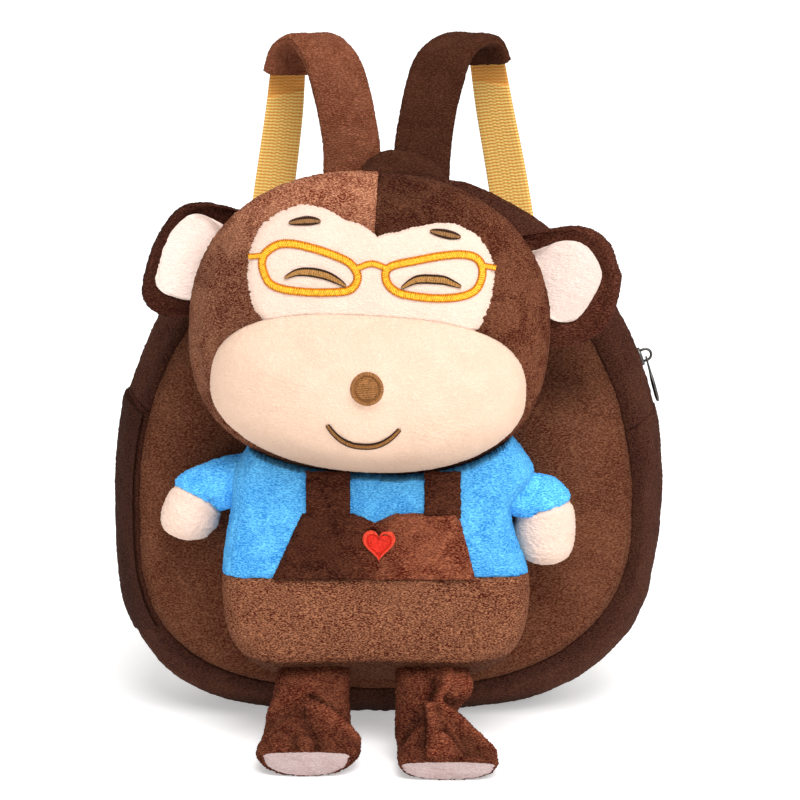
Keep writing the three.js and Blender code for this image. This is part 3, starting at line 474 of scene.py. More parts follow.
# painted light and shade, with the pile's lie: the colour is scaled by 2 to the power of their stops
pile_and_light_factor = sums(nap_group, "POWER", 2.0, put(nap_group, "Attribute", attribute_name="pile_and_painted_light").outputs["Fac"])
stroked_and_shaded = put(nap_group, "VectorMath", {0: tone, "Scale": pile_and_light_factor}, operation="SCALE").outputs[0]
nap_group.links.new(stroked_and_shaded, nap_out.inputs["Color"])
nap_group.links.new(sums(nap_group, "ADD", tuft_swing, 0.0), nap_out.inputs["Height"])

# %% Cloths
CLOTH_SPECULAR, METAL_SPECULAR = 0.08, 0.5
SHEEN_ROUGHNESS = 0.45
PILE_DEPTH = 0.0004


def material(name, roughness=0.9, sheen=0.0, sheen_tint=(1.0, 1.0, 1.0, 1.0), metallic=0.0):
    """A material with one Principled shader, its even values set on the shader itself."""
    made = bpy.data.materials.new(name)
    made.use_nodes = True
    shader = made.node_tree.nodes["Principled BSDF"]
    shader.inputs["Roughness"].default_value = roughness
    shader.inputs["Specular IOR Level"].default_value = METAL_SPECULAR if metallic else CLOTH_SPECULAR
    shader.inputs["Sheen Weight"].default_value = sheen
    shader.inputs["Sheen Roughness"].default_value = SHEEN_ROUGHNESS
    shader.inputs["Sheen Tint"].default_value = sheen_tint
    shader.inputs["Metallic"].default_value = metallic
    return made, made.node_tree, shader


HUE_SWING = np.array([1.0, 1.38, 1.55])


def around(mid, contrast):
    """A pile's deep and light colours: red, green and blue swing about the middle, blue the most."""
    middle = np.array(paint(*mid)[:3])
    low, high = (middle * np.clip(1 + way * contrast * HUE_SWING, 0.03, 2.1) for way in (-1, 1))
    return (*low, 1.0), (*np.minimum(high, 1.0), 1.0)


def cloth(name, shades, tuft=(0.42, 0.8), patch=(26.0, 0.2), sheen=0.1, bump=0.8):
    """Pile cloth: the nap group gives the colour, and its height a bump for the tufts."""
    made, tree, shader = material(name, 0.95, sheen, shades[1])
    values = {
        "Deep": shades[0],
        "Light": shades[1],
        "Tuft size": tuft[0] * MM,
        "Tuft amount": tuft[1],
        "Patch size": patch[0] * MM,
        "Patch amount": patch[1],
    }
    nap = tree.nodes.new("ShaderNodeGroup")
    nap.node_tree = nap_group
    for label, value in values.items():
        nap.inputs[label].default_value = value
    tree.links.new(nap.outputs["Color"], shader.inputs["Base Color"])
    emboss(tree, shader, nap.outputs["Height"], bump, PILE_DEPTH)
    return made


FRONT_PLUSH = cloth("front_plush", around((102, 60, 41), 0.58))
DARK_PLUSH = cloth("dark_plush", around((70, 37, 24), 0.7))
LEFT_HEAD_PLUSH = cloth("left_head_plush", around((126, 79, 57), 0.66), tuft=(0.34, 0.95), patch=(14.0, 0.4))
RIGHT_HEAD_PLUSH = cloth("right_head_plush", around((94, 53, 35), 0.66), tuft=(0.34, 0.95), patch=(13.0, 0.4))
EAR_PLUSH = cloth("ear_plush", around((67, 34, 23), 0.66))
TROUSER_PLUSH = cloth("trouser_plush", around((130, 79, 55), 0.76), tuft=(0.37, 1.0), patch=(22.0, 0.12))
BIB_PLUSH = cloth("bib_plush", around((92, 48, 31), 0.68), patch=(10.0, 0.35))
LEG_PLUSH = cloth("leg_plush", around((100, 52, 34), 0.72), patch=(9.0, 0.3))
STRAP_PLUSH = cloth("strap_plush", around((87, 49, 33), 0.4), patch=(12.0, 0.3))
VELOUR = {"tuft": (0.42, 0.7), "patch": (16.0, 0.4), "sheen": 0.12, "bump": 0.5}
PEACH = cloth("peach_velour", around((236, 206, 188), 0.05), **VELOUR)
MUZZLE_PEACH = cloth("muzzle_velour", around((234, 200, 176), 0.05), **VELOUR)
PALE = cloth("pale_velour", around((236, 213, 201), 0.06), **VELOUR)
SOLE_PALE = cloth("sole_velour", around((184, 162, 159), 0.1), **VELOUR)
BLUE_SHADES = (paint(40, 126, 204), paint(110, 202, 255))
BLUE = cloth("blue_velour", BLUE_SHADES, patch=(14.0, 0.3), bump=0.6)
ZIP_CLOTH = cloth("zip_cloth", around((38, 21, 16), 0.5), tuft=(0.6, 0.5), sheen=0.05, bump=0.3)

# %% [markdown]
# ## The bag
# The bag is a hollow case: a domed front panel, a flat back panel and a gusset between them. Seen from the
# front each outline is a squared oval. Its reach at an angle follows |cos / half|^p + |sin / height|^p = 1
# / reach^p. The bag leans a little in the picture: its left side is narrower, and its lower right corner
# rounder.

# %% Bag outlines
GAP = 0.35
WALL = 2.5
BAG_CENTRE = (0.0, 98.0)
FRONT_SEAM_Y = -40.0
BACK_SEAM_Y = 40.0
OUTLINE_PARTS = "half up down up_power down_power left_half right_power"
Outline = namedtuple("Outline", OUTLINE_PARTS, defaults=(None, None))
FRONT_SEAM = Outline(111.5, 128.0, 82.0, 2.2, 3.0, left_half=112.5, right_power=2.4)
CREST = Outline(126.5, 148.0, 102.0, 2.15, 3.5, left_half=123.5, right_power=2.8)
BACK_SEAM = Outline(113.0, 132.0, 87.0, 2.2, 3.0, left_half=111.0, right_power=2.6)
GUSSET_FULLNESS = 0.8
FRONT_DOME = 9.0
BACK_DOME = 3.0
BACK_SLOPE = 0.45
BACK_POINTS = 6


def reach(shape, angle):
    """How far a squared oval reaches at an angle; its left half and its lower right may differ."""
    upper, right = np.sin(angle) >= 0, np.cos(angle) >= 0
    lower_power = np.where(right, shape.right_power or shape.down_power, shape.down_power)
    power = np.where(upper, shape.up_power, lower_power)
    across = np.abs(np.cos(angle)) / np.where(right, shape.half, shape.left_half or shape.half)
    along = np.abs(np.sin(angle)) / np.where(upper, shape.up, shape.down)
    return (across**power + along**power) ** (-1 / power)


def share_of(shape, centre, x, z):
    """How far out a point lies, as a share of the outline's reach."""
    angle = np.arctan2(z - centre[1], x - centre[0])
    return np.hypot(x - centre[0], z - centre[1]) / reach(shape, angle)


def front_dome(share):
    """The front panel's dome: nearly level in the middle, round towards the seam."""
    return FRONT_DOME * (1 - share**4)


def back_dome(share):
    """The back panel's dome: level, with a slope down to the seam."""
    return BACK_DOME * np.minimum(1, (1 - share) / BACK_SLOPE)


def front_panel_y(x, z):
    """The front panel's face at a place seen from the front."""
    share = np.minimum(share_of(FRONT_SEAM, BAG_CENTRE, x, z), 1)
    return FRONT_SEAM_Y - front_dome(share)


def turns(count, start=0.0, end=360.0, whole=True):
    """Angles in radians, without the last one where they go the whole way round."""
    return np.radians(np.linspace(start, end, count, endpoint=not whole))


def there_and_back(there, back):
    """Shares from 0 out to 1 and in again to 0, and whether each lies on the outer face."""
    share = np.concatenate([np.linspace(0, 1, there), np.linspace(1, 0, back)])
    return share[:, None], (np.arange(there + back) < there)[:, None]


def panel(seam, seam_y, dome, facing):
    """A padded panel: dome(share) towards facing on its outer face, one wall back on its inner one."""
    share, outer = there_and_back(86, BACK_POINTS)
    angle = turns(440)[None]
    distance = share * (reach(seam, angle) + 0.4)
    x, z = distance * np.cos(angle), BAG_CENTRE[1] + distance * np.sin(angle)
    pucker = 0.4 * cloud(stacked(x, 0.0, z), 7.0, 9) * hump(0.93 - share, 0.06)
    roll = 2.2 * smooth(share, 0.94, 1.0) ** 2
    sway = 0.9 * cloud(stacked(x, 0.0, z), 45.0, 3) * smooth(1 - share, 0.0, 0.2)
    y = seam_y + facing * (dome(share) + np.where(outer, sway + pucker - roll, -WALL))
    grid = np.stack([x, y, z], axis=-1)
    return settle(grid, ~outer | (share > 0.985), pressure=0.6, slack=0.02, stride=(4, 6), most=2.0)


def front_tone_and_shade(grid):
    """The front: a little lighter all over, painted dark along its seam's groove and with a painted shadow
    under the right ear.
    """
    x, z = grid[..., 0], grid[..., 2]
    share = share_of(FRONT_SEAM, BAG_CENTRE, x, z)
    # painted shadow that the right ear casts on the panel
    painted_ear_shadow = hump(x - 76, 18) * hump(z - 159, 11)
    return lerp(0.04, 0.06, smooth(x, -90, 90)) - 0.5 * smooth(share, 0.94, 1.0) - 0.8 * painted_ear_shadow


front_grid = panel(FRONT_SEAM, FRONT_SEAM_Y, front_dome, -1)
back_grid = panel(BACK_SEAM, BACK_SEAM_Y, back_dome, 1)
make("bag_front", front_grid, FRONT_PLUSH, "plush_mid", nap=0.2, fill=0.5, pile_and_painted_light=front_tone_and_shade)
make("bag_back", back_grid, DARK_PLUSH, "plush_dark", nap=0.3, fill=0.5)

# %% [markdown]
# The gusset bulges from seam to crest to seam. A strip of it is a flat section, an outer and an inner face,
# carried round the bag by the angle, with its edges rolled in where they are sewn to the panels.

# %% Gusset
ZIP_FROM, ZIP_TO = 19.5, 156.0
ZIP_LOW, ZIP_HIGH = 0.452, 0.548
DEPTH = BACK_SEAM_Y - FRONT_SEAM_Y
SLIT = GAP / DEPTH


def gusset_point(angle, share, lift):
    """A place on the gusset: between the seams, swelling to the crest, lifted outward, above the floor."""
    front, back = reach(FRONT_SEAM, angle), reach(BACK_SEAM, angle)
    bulge = np.sin(np.pi * np.clip(share, 0, 1)) ** GUSSET_FULLNESS
    swell = (reach(CREST, angle) - (front + back) / 2) * bulge
    distance = lerp(front, back, share) + swell + lift
    z = np.maximum(BAG_CENTRE[1] + distance * np.sin(angle), -np.minimum(lift, 0) * (lift < -1))
    y = lerp(FRONT_SEAM_Y, BACK_SEAM_Y, share)
    return stacked(distance * np.cos(angle), y, z)


def strip(angles, shares, outer_count, outer, inner):
    """A closed strip of the gusset: outer(share, angle, across) lifts its face, inner what lies behind."""
    across, on_face = (part.T for part in there_and_back(outer_count, BACK_POINTS))
    share = lerp(shares[0], shares[1], across)
    angle = angles[:, None]
    lift = np.where(on_face, outer(share, angle, across), inner(share, angle, across))
    return capped(gusset_point(angle, share, lift))


def plump(share, angle, across):
    """Slack cloth: broad swells, gathers at the sewn edges, and both edges rolled in."""
    place = gusset_point(angle, share, 0.0)
    edge = hump(across, 0.035) + hump(1 - across, 0.035)
    inside = smooth(across, 0.02, 0.15) * smooth(1 - across, 0.02, 0.15)
    swell = (1.3 * cloud(place, (34.0, 30.0, 34.0), 5) + 0.5 * cloud(place, (9.0, 26.0, 9.0), 6)) * inside
    degrees = np.degrees(angle)
    under_pocket = smooth(degrees, 155.0, 160.0) * smooth(212.0 - degrees, 0.0, 6.0)
    return np.minimum(swell * (1 - 0.8 * under_pocket) - 1.2 * edge, 1.2)


def set_in(depth):
    """The lift of an inner face that lies evenly behind the outline."""
    return lambda share, angle, across: -depth


def gusset_pile_and_shade(grid):
    """Painted shade in the groove beside the front seam and near the floor; towards the crest its pile stands
    up a little lighter.
    """
    # painted shade on the gusset's lowest part, near the floor
    painted_floor_shade = smooth(14 - grid[..., 2], 0, 13)
    return lerp(-0.5, 0.15, smooth(grid[..., 1] - FRONT_SEAM_Y, 1, 9)) - painted_floor_shade


LOWER_TURN = turns(560, ZIP_TO + 0.16, 360 + ZIP_FROM - 0.16, whole=False)
UPPER_TURN = turns(360, ZIP_FROM, ZIP_TO, whole=False)
GUSSET_STRIPS = (
    ("gusset_lower", LOWER_TURN, (0.008, 0.992), 74),
    ("gusset_upper_front", UPPER_TURN, (0.008, ZIP_LOW - SLIT), 34),
    ("gusset_upper_back", UPPER_TURN, (ZIP_HIGH + SLIT, 0.992), 34),
)
for strip_name, strip_turn, strip_shares, strip_count in GUSSET_STRIPS:
    strip_grid = strip(strip_turn, strip_shares, strip_count, plump, set_in(WALL))
    make(strip_name, strip_grid, DARK_PLUSH, "plush_dark", nap=0.3, fill=0.4, pile_and_painted_light=gusset_pile_and_shade)

# %% [markdown]
# The side pocket is a flat patch on the left of the gusset whose mouth stands off a little.

# %% Side pocket
POCKET_FROM, POCKET_HEM, POCKET_TO = 157.5, 159.0, 207.0
POCKET_TURN = turns(130, POCKET_FROM, POCKET_TO, whole=False)
POCKET_MOUTH = 0.2
POCKET_WALL = 1.3


def pocket_seat(share, angle, across):
    """The pocket's back: seated at its edges, hollow inside, gaping a little at its mouth."""
    along = (np.degrees(angle) - POCKET_FROM) / (POCKET_TO - POCKET_FROM)
    mouth = np.clip(1 - along / POCKET_MOUTH, 0, 1)
    return GAP + 0.1 + (0.2 + 0.3 * mouth) * np.sin(np.pi * across)


def pocket_face(share, angle, across):
    """Its face: one cloth thick, with a hem along the mouth, fading into the gusset at its sewn edges."""
    degrees = np.degrees(angle)
    hem = 0.4 * hump(degrees - POCKET_HEM, 0.9)
    sewn_in = smooth(across, 0.0, 0.2) * smooth(1 - across, 0.0, 0.2) * smooth(POCKET_TO - degrees, 0.0, 6.0)
    return pocket_seat(share, angle, across) + 0.1 + (POCKET_WALL - 0.2 + hem) * sewn_in


pocket_grid = strip(POCKET_TURN, (0.014, 0.986), 66, pocket_face, pocket_seat)
make("side_pocket", pocket_grid, DARK_PLUSH, "plush_dark", nap=0.3, fill=0.3, pile_and_painted_light=-0.45)

# %% [markdown]
# ## The doll's head
# The head is a stuffed cushion of two halves that meet in a seam down the middle. All its pieces are worked
# out upright, and then turned a little, as the doll tilts its head.

# %% Head
HEAD_X, HEAD_Z, HEAD_TILT = -7.0, 188.0, np.radians(3.4)
HEAD_RIM_Y, HEAD_DEPTH, HEAD_POWER = -76.0, 30.0, 2.4
HEAD_OUTLINE = Outline(77.0, 66.5, 63.5, 2.2, 2.55)


def tilted(p, y, q):
    """A place in the head's own frame, turned clockwise about the view's direction and set on the bag."""
    x = HEAD_X + p * np.cos(HEAD_TILT) + q * np.sin(HEAD_TILT)
    z = HEAD_Z - p * np.sin(HEAD_TILT) + q * np.cos(HEAD_TILT)
    return stacked(x, y, z)


def head_front_y(p, q):
    """The head's face: its rim's plane, crowned by the root of 1 - share^power."""
    share = np.minimum(share_of(HEAD_OUTLINE, (0.0, 0.0), p, q), 1)
    return HEAD_RIM_Y - HEAD_DEPTH * np.sqrt(1 - share**HEAD_POWER)


def head_half(start, end):
    """One half: angles on its own side, rows from the middle of the face over the rim to the bag's panel."""
    front = np.sin(np.linspace(0, np.pi / 2, 74))
    rear = np.sin(np.linspace(np.pi / 2, 0, 40))[1:]
    share = np.concatenate([front, rear])[:, None]
    face = (np.arange(len(share)) < len(front))[:, None]
    angle = turns(230, start, end, whole=False)[None]
    distance = share * reach(HEAD_OUTLINE, angle)
    p, q = distance * np.cos(angle), distance * np.sin(angle)
    crown = HEAD_DEPTH * np.sqrt(np.maximum(1 - share**HEAD_POWER, 0))
    valley = 1.6 * hump(p, 2.4) + 0.9 * hump(share - 0.95, 0.012)
    sway = 0.8 * cloud(stacked(p, 0.0, q), 38.0, 11)
    y = np.where(face, HEAD_RIM_Y - crown + valley - sway * share * (1 - share) * 4, HEAD_RIM_Y + crown)
    place = tilted(p + np.sign(np.cos((np.radians(start + end)) / 2)) * GAP / 2, y, q)
    place[..., 1] = np.minimum(place[..., 1], front_panel_y(place[..., 0], place[..., 2]) - GAP)
    return place


def left_lean(grid):
    """The left half's pile lies up, so its top catches the light."""
    return smooth(grid[..., 2], 210, 250)


def right_lean(grid):
    """The right half's pile lies away from the middle seam, where it looks darkest."""
    return lerp(-0.4, 0.55, smooth(grid[..., 0], 8, 58))


HEAD_PILE = {"nap": 0.2, "fuzz": 0.35, "fill": 0.8}
make("head_left", head_half(90, 270), LEFT_HEAD_PLUSH, "plush_light", pile_and_painted_light=left_lean, **HEAD_PILE)
make("head_right", head_half(-90, 90), RIGHT_HEAD_PLUSH, "plush_dark", pile_and_painted_light=right_lean, **HEAD_PILE)

# %% [markdown]
# ## Muzzle and face mask
# The muzzle swells from the lower face. At its upper edge it is sewn flush with the mask, so there it rises
# slowly, and at its sides and chin it stands out like a pillow.

# %% Muzzle
MUZZLE_CENTRE = (1.0, -26.5)
MUZZLE_OUTLINE = Outline(67.0, 36.0, 33.5, 2.7, 2.05)
MUZZLE_RISE, MUZZLE_POWER, MUZZLE_EDGE = 19.0, 2.8, 0.6
CHIN_OVERHANG = 1.5
MUZZLE_FRONT = np.sin(np.linspace(0, np.pi / 2, 84))
MUZZLE_REAR = np.linspace(1, 0, 8)[1:]
MUZZLE_TURN = turns(720)[None]


def muzzle_rise(p, q):
    """How far the muzzle stands off the head: a full crown below, fading to a slow rise at the upper edge."""
    share = np.minimum(share_of(MUZZLE_OUTLINE, MUZZLE_CENTRE, p, q), 1)
    upper = smooth(np.sin(np.arctan2(q - MUZZLE_CENTRE[1], p - MUZZLE_CENTRE[0])), 0.25, 0.6)
    full = np.sqrt(1 - share**MUZZLE_POWER)
    slow = (1 - share**2) ** 1.3
    return MUZZLE_EDGE + upper + MUZZLE_RISE * lerp(full, slow, upper)


def muzzle_front_y(p, q):
    """The muzzle's face."""
    return head_front_y(p, q) - GAP - muzzle_rise(p, q)


def muzzle():
    """Rows from its middle out to its seam, and behind it on the head."""
    share = np.concatenate([MUZZLE_FRONT, MUZZLE_REAR])[:, None]
    face = (np.arange(len(share)) < len(MUZZLE_FRONT))[:, None]
    angle = MUZZLE_TURN
    distance = share * reach(MUZZLE_OUTLINE, angle)
    p, q = MUZZLE_CENTRE[0] + distance * np.cos(angle), MUZZLE_CENTRE[1] + distance * np.sin(angle)
    overhang = CHIN_OVERHANG * hump(share - 0.88, 0.09) * smooth(-np.sin(angle), 0.0, 0.7) * face
    waves = np.sin(47 * angle + 2 * np.sin(5 * angle)) * (np.sin(angle) < 0.3)
    gathers = 0.35 * waves * hump(1 - share, 0.06)
    sway = 0.7 * cloud(stacked(p, 0.0, q), 30.0, 17) * (1 - share)
    y = np.where(face, muzzle_front_y(p, q) - sway - gathers, head_front_y(p, q) - GAP)
    return tilted(p, y, q - overhang)


def muzzle_seam_and_shade():
    """The muzzle's pile is parted along its upper seam, and under the chin it is painted dark, a painted
    shade.
    """
    share = np.concatenate([MUZZLE_FRONT, np.ones(len(MUZZLE_REAR))])[:, None]
    height = np.sin(MUZZLE_TURN)
    parted = 0.3 * smooth(share, 0.99, 1.0) * (height > 0.3)
    # painted shade under the chin
    painted_chin_shade = 0.8 * smooth(share, 0.55, 0.95) * smooth(-height, 0.1, 0.8)
    return -parted - painted_chin_shade


make("muzzle", muzzle(), MUZZLE_PEACH, "muzzle_velour", nap=0.12, fuzz=0.25, cell=0.9,
     pile_and_painted_light=muzzle_seam_and_shade(), fill=0.8)

# %% Face mask
MASK_CENTRE = (0.0, 25.0)
MASK_ROWS, MASK_COLUMNS = 60, 800
MASK_THICK, MASK_EDGE, MASK_FRINGE = 1.5, 0.35, 0.7
MASK_CORNERS = (
    (1.0, 41.5), (9.5, 44.0), (18.6, 46.8), (33.1, 48.5), (43.9, 43.2), (50.8, 32.7), (50.2, 17.9),
    (45.8, 5.8), (30.0, 0.0), (0.0, 0.0), (-30.0, 0.0), (-45.6, 4.7), (-49.5, 10.0), (-52.3, 22.4),
    (-51.6, 33.0), (-47.1, 43.7), (-31.8, 52.5), (-22.6, 51.8), (-12.7, 47.5),
)


def outline_reach(corners, centre, angle):
    """Reach of an outline through corners, on a smooth curve of distance over bearing."""
    away = np.asarray(corners) - centre
    bearing = np.arctan2(away[:, 1], away[:, 0])
    order = np.argsort(bearing)
    near, far = bearing[order], np.hypot(away[:, 0], away[:, 1])[order]
    every = turns(720)
    fine = np.interp(every, near, far, period=2 * np.pi)
    kernel = np.hanning(13) / np.hanning(13).sum()
    fine = np.convolve(np.concatenate([fine[-12:], fine, fine[:12]]), kernel, "same")[12:-12]
    return np.interp(angle, every, fine, period=2 * np.pi)


def face_mask():
    """A flat patch on the head: its thickness fades to its edge, where the pile makes a fine fringe."""
    share, face = there_and_back(MASK_ROWS, BACK_POINTS)
    angle = turns(MASK_COLUMNS)[None]
    fringe = MASK_FRINGE * (toss(MASK_COLUMNS, 3)[None] - 0.5)
    away = share * outline_reach(MASK_CORNERS, MASK_CENTRE, angle) + fringe * smooth(share, 0.95, 1.0)
    p, q = MASK_CENTRE[0] + away * np.cos(angle), MASK_CENTRE[1] + away * np.sin(angle)
    height = lerp(MASK_EDGE, MASK_THICK, smooth(1 - share, 0.0, 0.05))
    return tilted(p, head_front_y(p, q) - GAP * 0.4 - np.where(face, height, 0.0), q)


mask_grid = face_mask()
sewn = make("face_mask", mask_grid, PEACH, "peach_velour", nap=0.16, cell=0.9)

# %% [markdown]
# Ears are cups that stand beside the head. A section runs from the head over the rolled rim and back, and
# it is carried along the rim from the upper to the lower end, where the ear is sewn into the head's side
# seam.

# %% Ears
# rim of the cup and edge of its lining, from the top to the bottom, in the head's own frame
EARS = {
    "left": (
        ((-57.5, 45.6), (-73.6, 48.2), (-85.4, 44.3), (-94.6, 28.7), (-98.5, 11.0), (-96.5, 3.2),
         (-90.6, -0.8), (-82.5, -1.5), (-75.0, -0.5)),
        ((-62.1, 38.4), (-75.1, 43.6), (-83.1, 40.1), (-91.1, 28.0), (-93.1, 15.0), (-89.9, 9.1),
         (-80.7, 6.2), (-74.7, 6.5)),
    ),
    "right": (
        ((62.5, 42.4), (86.5, 47.5), (99.3, 42.4), (104.7, 31.9), (106.6, 24.2), (102.7, 6.2), (89.6, -3.3),
         (76.0, -5.5)),
        ((67.9, 36.0), (81.3, 41.3), (90.9, 39.3), (97.5, 30.2), (97.2, 22.4), (90.4, 9.4), (83.8, 6.0),
         (75.7, 8.1)),
    ),
}
EAR_Y, EAR_SEAM = -67.0, 0.955
LINING_COLUMNS = 46
# share of the way from the head to the rim, rise towards the viewer
EAR_SECTION = (
    (0.0, 2.0), (0.3, 1.6), (0.55, 1.7), (0.7, 2.0), (0.8, 3.0), (0.88, 5.2), (0.95, 5.4), (1.0, 1.8),
    (0.98, -2.2), (0.85, -4.2), (0.5, -5.2), (0.0, -5.6),
)


def ear_place(line, along, out):
    """A place on the ear: along its rim line, and out from the head's side seam to that line."""
    rim = glide(line, along + 0 * out)
    seam_q = lerp(line[0][1], line[-1][1], along)
    power = np.where(seam_q > 0, HEAD_OUTLINE.up_power, HEAD_OUTLINE.down_power)
    height = np.where(seam_q > 0, HEAD_OUTLINE.up, HEAD_OUTLINE.down)
    seam_share = (1 - np.abs(seam_q / height) ** power) ** (1 / power)
    seam_p = np.sign(line[0][0]) * EAR_SEAM * HEAD_OUTLINE.half * seam_share
    return lerp(seam_p, rim[..., 0], out), lerp(seam_q, rim[..., 1], out)


def ear_rise(rise, along, p, q):
    """A section's rise, thinner towards the ear's two ends, with a little slack."""
    thin = 0.45 + 0.55 * np.sin(np.pi * np.clip(along * 0.9 + 0.05, 0, 1)) ** 0.5
    return rise * thin + 0.5 * cloud(stacked(p, 0.0, q), 12.0, 13)


def ear(rim):
    """The brown cup."""
    section = glide(EAR_SECTION, np.linspace(0, 1, 96))[None]
    along = np.linspace(0, 1, 150)[:, None]
    p, q = ear_place(rim, along, section[..., 0])
    return capped(tilted(p, EAR_Y - ear_rise(section[..., 1], along, p, q), q))


def ear_lining(rim, edge_line):
    """The pale cloth inside it, lying on the cup from the head to where the rim rolls up."""
    out, face = (part.T for part in there_and_back(LINING_COLUMNS, 5))
    along = np.linspace(0, 1, 110)[:, None]
    p, q = ear_place(edge_line, along, out)
    seam_p, seam_q = ear_place(rim, along, 0 * out)
    rim_p, rim_q = ear_place(rim, along, 1 + 0 * out)
    share = np.hypot(p - seam_p, q - seam_q) / np.hypot(rim_p - seam_p, rim_q - seam_q)
    cup = ear_rise(np.interp(share, *np.transpose(EAR_SECTION[:7])), along, p, q)
    edge = smooth(1 - out, 0.0, 0.12) * smooth(along, 0, 0.06) * smooth(1 - along, 0, 0.06)
    return capped(tilted(p, EAR_Y - cup - np.where(face, 0.9 + 0.8 * edge, 0.2), q))


# painted light and shade, in stops: the right ear's cup and the left ear's lining are painted lighter, the
# right lining a little darker
EAR_PAINTED_LIGHT = {"left": 0.0, "right": 0.65}
LINING_PAINTED_LIGHT = {"left": 0.2, "right": -0.1}
for ear_name, (ear_rim, ear_edge) in EARS.items():
    make("ear_" + ear_name, ear(ear_rim), EAR_PLUSH, "plush_dark", nap=0.25, fuzz=0.4, fill=0.5,
         pile_and_painted_light=EAR_PAINTED_LIGHT[ear_name])
    lining = ear_lining(ear_rim, ear_edge)
    sewn = make("ear_inner_" + ear_name, lining, PALE, "pale_velour", nap=0.16, cell=0.9,
                pile_and_painted_light=LINING_PAINTED_LIGHT[ear_name])

# %% [markdown]
# ## Embroidery
# Satin stitch is a band of threads laid side by side across a stroke. Each stroke is a ribbon that follows
# its line on the cloth below, with a rounded section and a small ridge for every thread. Its attribute
# holds the place across and along the stroke, so the finish can darken the edge threads.

# %% Thread finish
THREAD_PITCH = 0.75
THREAD_DEPTH = 0.0003


def thread(name, core, edge, edge_from):
    """Shiny thread: stripes along the stroke for single threads, another colour on the edge threads."""
    made, tree, shader = material(name, 0.5, 0.03)
    place = put(tree, "Attribute", attribute_name="cloth").outputs["Vector"]
    split = put(tree, "SeparateXYZ", {0: place})
    edge_range = {"From Min": edge_from, "From Max": edge_from + 0.15}
    outer = put(tree, "MapRange", {"Value": split.outputs["Z"], **edge_range}).outputs[0]
    stripe = sums(tree, "SINE", sums(tree, "MULTIPLY", split.outputs["Y"], 2 * np.pi / THREAD_PITCH), 0.0)
    uneven = put(tree, "TexNoise", {"Vector": place, "Scale": 1.3, "Detail": 2.0}).outputs["Fac"]
    twist = sums(tree, "ADD", sums(tree, "MULTIPLY", stripe, 0.5), sums(tree, "MULTIPLY", uneven, 2.6))
    shading = {"Value": twist, "From Min": 0.6, "From Max": 2.0, "To Min": 0.4, "To Max": 1.45}
    shade = put(tree, "MapRange", shading).outputs[0]
    tone = blend(tree, outer, paint(*core), paint(*edge))
    striped = put(tree, "VectorMath", {0: tone, "Scale": shade}, operation="SCALE").outputs[0]
    tree.links.new(striped, shader.inputs["Base Color"])
    emboss(tree, shader, stripe, 0.4, THREAD_DEPTH)
    return made


GOLD_THREAD = thread("gold_thread", (250, 182, 52), (214, 122, 14), 0.5)
EYE_THREAD = thread("eye_thread", (172, 124, 70), (46, 28, 14), 0.5)
BROW_THREAD = thread("brow_thread", (150, 108, 68), (58, 36, 22), 0.35)
SMILE_THREAD = thread("smile_thread", (148, 100, 54), (46, 26, 14), 0.4)
NOSE_THREAD = thread("nose_thread", (146, 98, 56), (156, 106, 62), 0.78)
HEART_THREAD = thread("heart_thread", (214, 46, 32), (236, 76, 52), 0.72)

# %% Strokes
THREAD_RISE, THREAD_SLANT = 1.0, 0.6
MASK_STAND = 1.6


def stroke(spine, width, under, closed=False):
    """A ribbon on a surface: spine is its line, width its full width at each step, under what it lies on."""
    if closed:
        tangent = np.roll(spine, -1, axis=0) - np.roll(spine, 1, axis=0)
    else:
        tangent = np.gradient(spine, axis=0)
    tangent = tangent / np.linalg.norm(tangent, axis=1, keepdims=True)
    aside = np.column_stack([-tangent[:, 1], tangent[:, 0]])
    run = run_along(spine)
    face = np.linspace(-1, 1, 15)
    across = np.concatenate([face, np.linspace(1, -1, 4)[1:-1]])[None]
    on_face = (np.arange(across.shape[1]) < len(face))[None]
    along = run[:, None] + THREAD_SLANT * across
    ridge = 0.14 * np.cos(2 * np.pi * along / THREAD_PITCH)
    rise = np.where(on_face, 0.3 + (THREAD_RISE + ridge) * np.sqrt(np.maximum(1 - across**2, 0)), 0.1)
    half = (width / 2)[:, None] * (1 + 0.05 * np.cos(2 * np.pi * along / THREAD_PITCH))
    p = spine[:, :1] + aside[:, :1] * half * across
    q = spine[:, 1:] + aside[:, 1:] * half * across
    grid = tilted(p, under(p, q) - rise, q)
    marks = stacked(across, along, np.abs(across))
    if closed:
        return np.concatenate([grid, grid[:1]]), np.concatenate([marks, marks[:1]])
    return capped(grid), capped(marks)


def mask_top_y(p, q):
    """The mask's cloth, which the eyes and spectacles are sewn on."""
    return head_front_y(p, q) - MASK_STAND


def taper(steps, width, end):
    """A stroke's width, thinning towards both ends to that share of it."""
    return width * lerp(end, 1.0, np.sin(np.pi * np.linspace(0, 1, steps)) ** 0.7)


def embroider(node, strokes, finish, slot):
    """One node's strokes joined in one piece."""
    grids, marks = zip(*strokes)
    make(node, list(grids), finish, slot, marks=list(marks))


steps = np.linspace(-1, 1, 160)
smile_line = np.column_stack([15.0 * bent(steps, 0.9), -44.3 + 9.0 * np.abs(steps) ** 2.2])
embroider("smile", [stroke(smile_line, taper(160, 3.1, 0.6), muzzle_front_y)], SMILE_THREAD, "brown_thread")

EYES = {
    "left": ((-36.4, 22.6), (-31.5, 25.2), (-26.0, 25.8), (-19.7, 25.0), (-14.7, 23.2), (-10.8, 21.1)),
    "right": ((12.4, 21.6), (16.4, 24.4), (20.5, 25.7), (28.9, 25.7), (33.1, 24.6), (37.2, 23.2)),
}
BROWS = {
    "left": ((-36.2, 45.0), (-28.7, 46.4), (-22.8, 46.6)),
    "right": ((22.8, 45.4), (29.9, 44.3), (35.9, 43.3)),
}
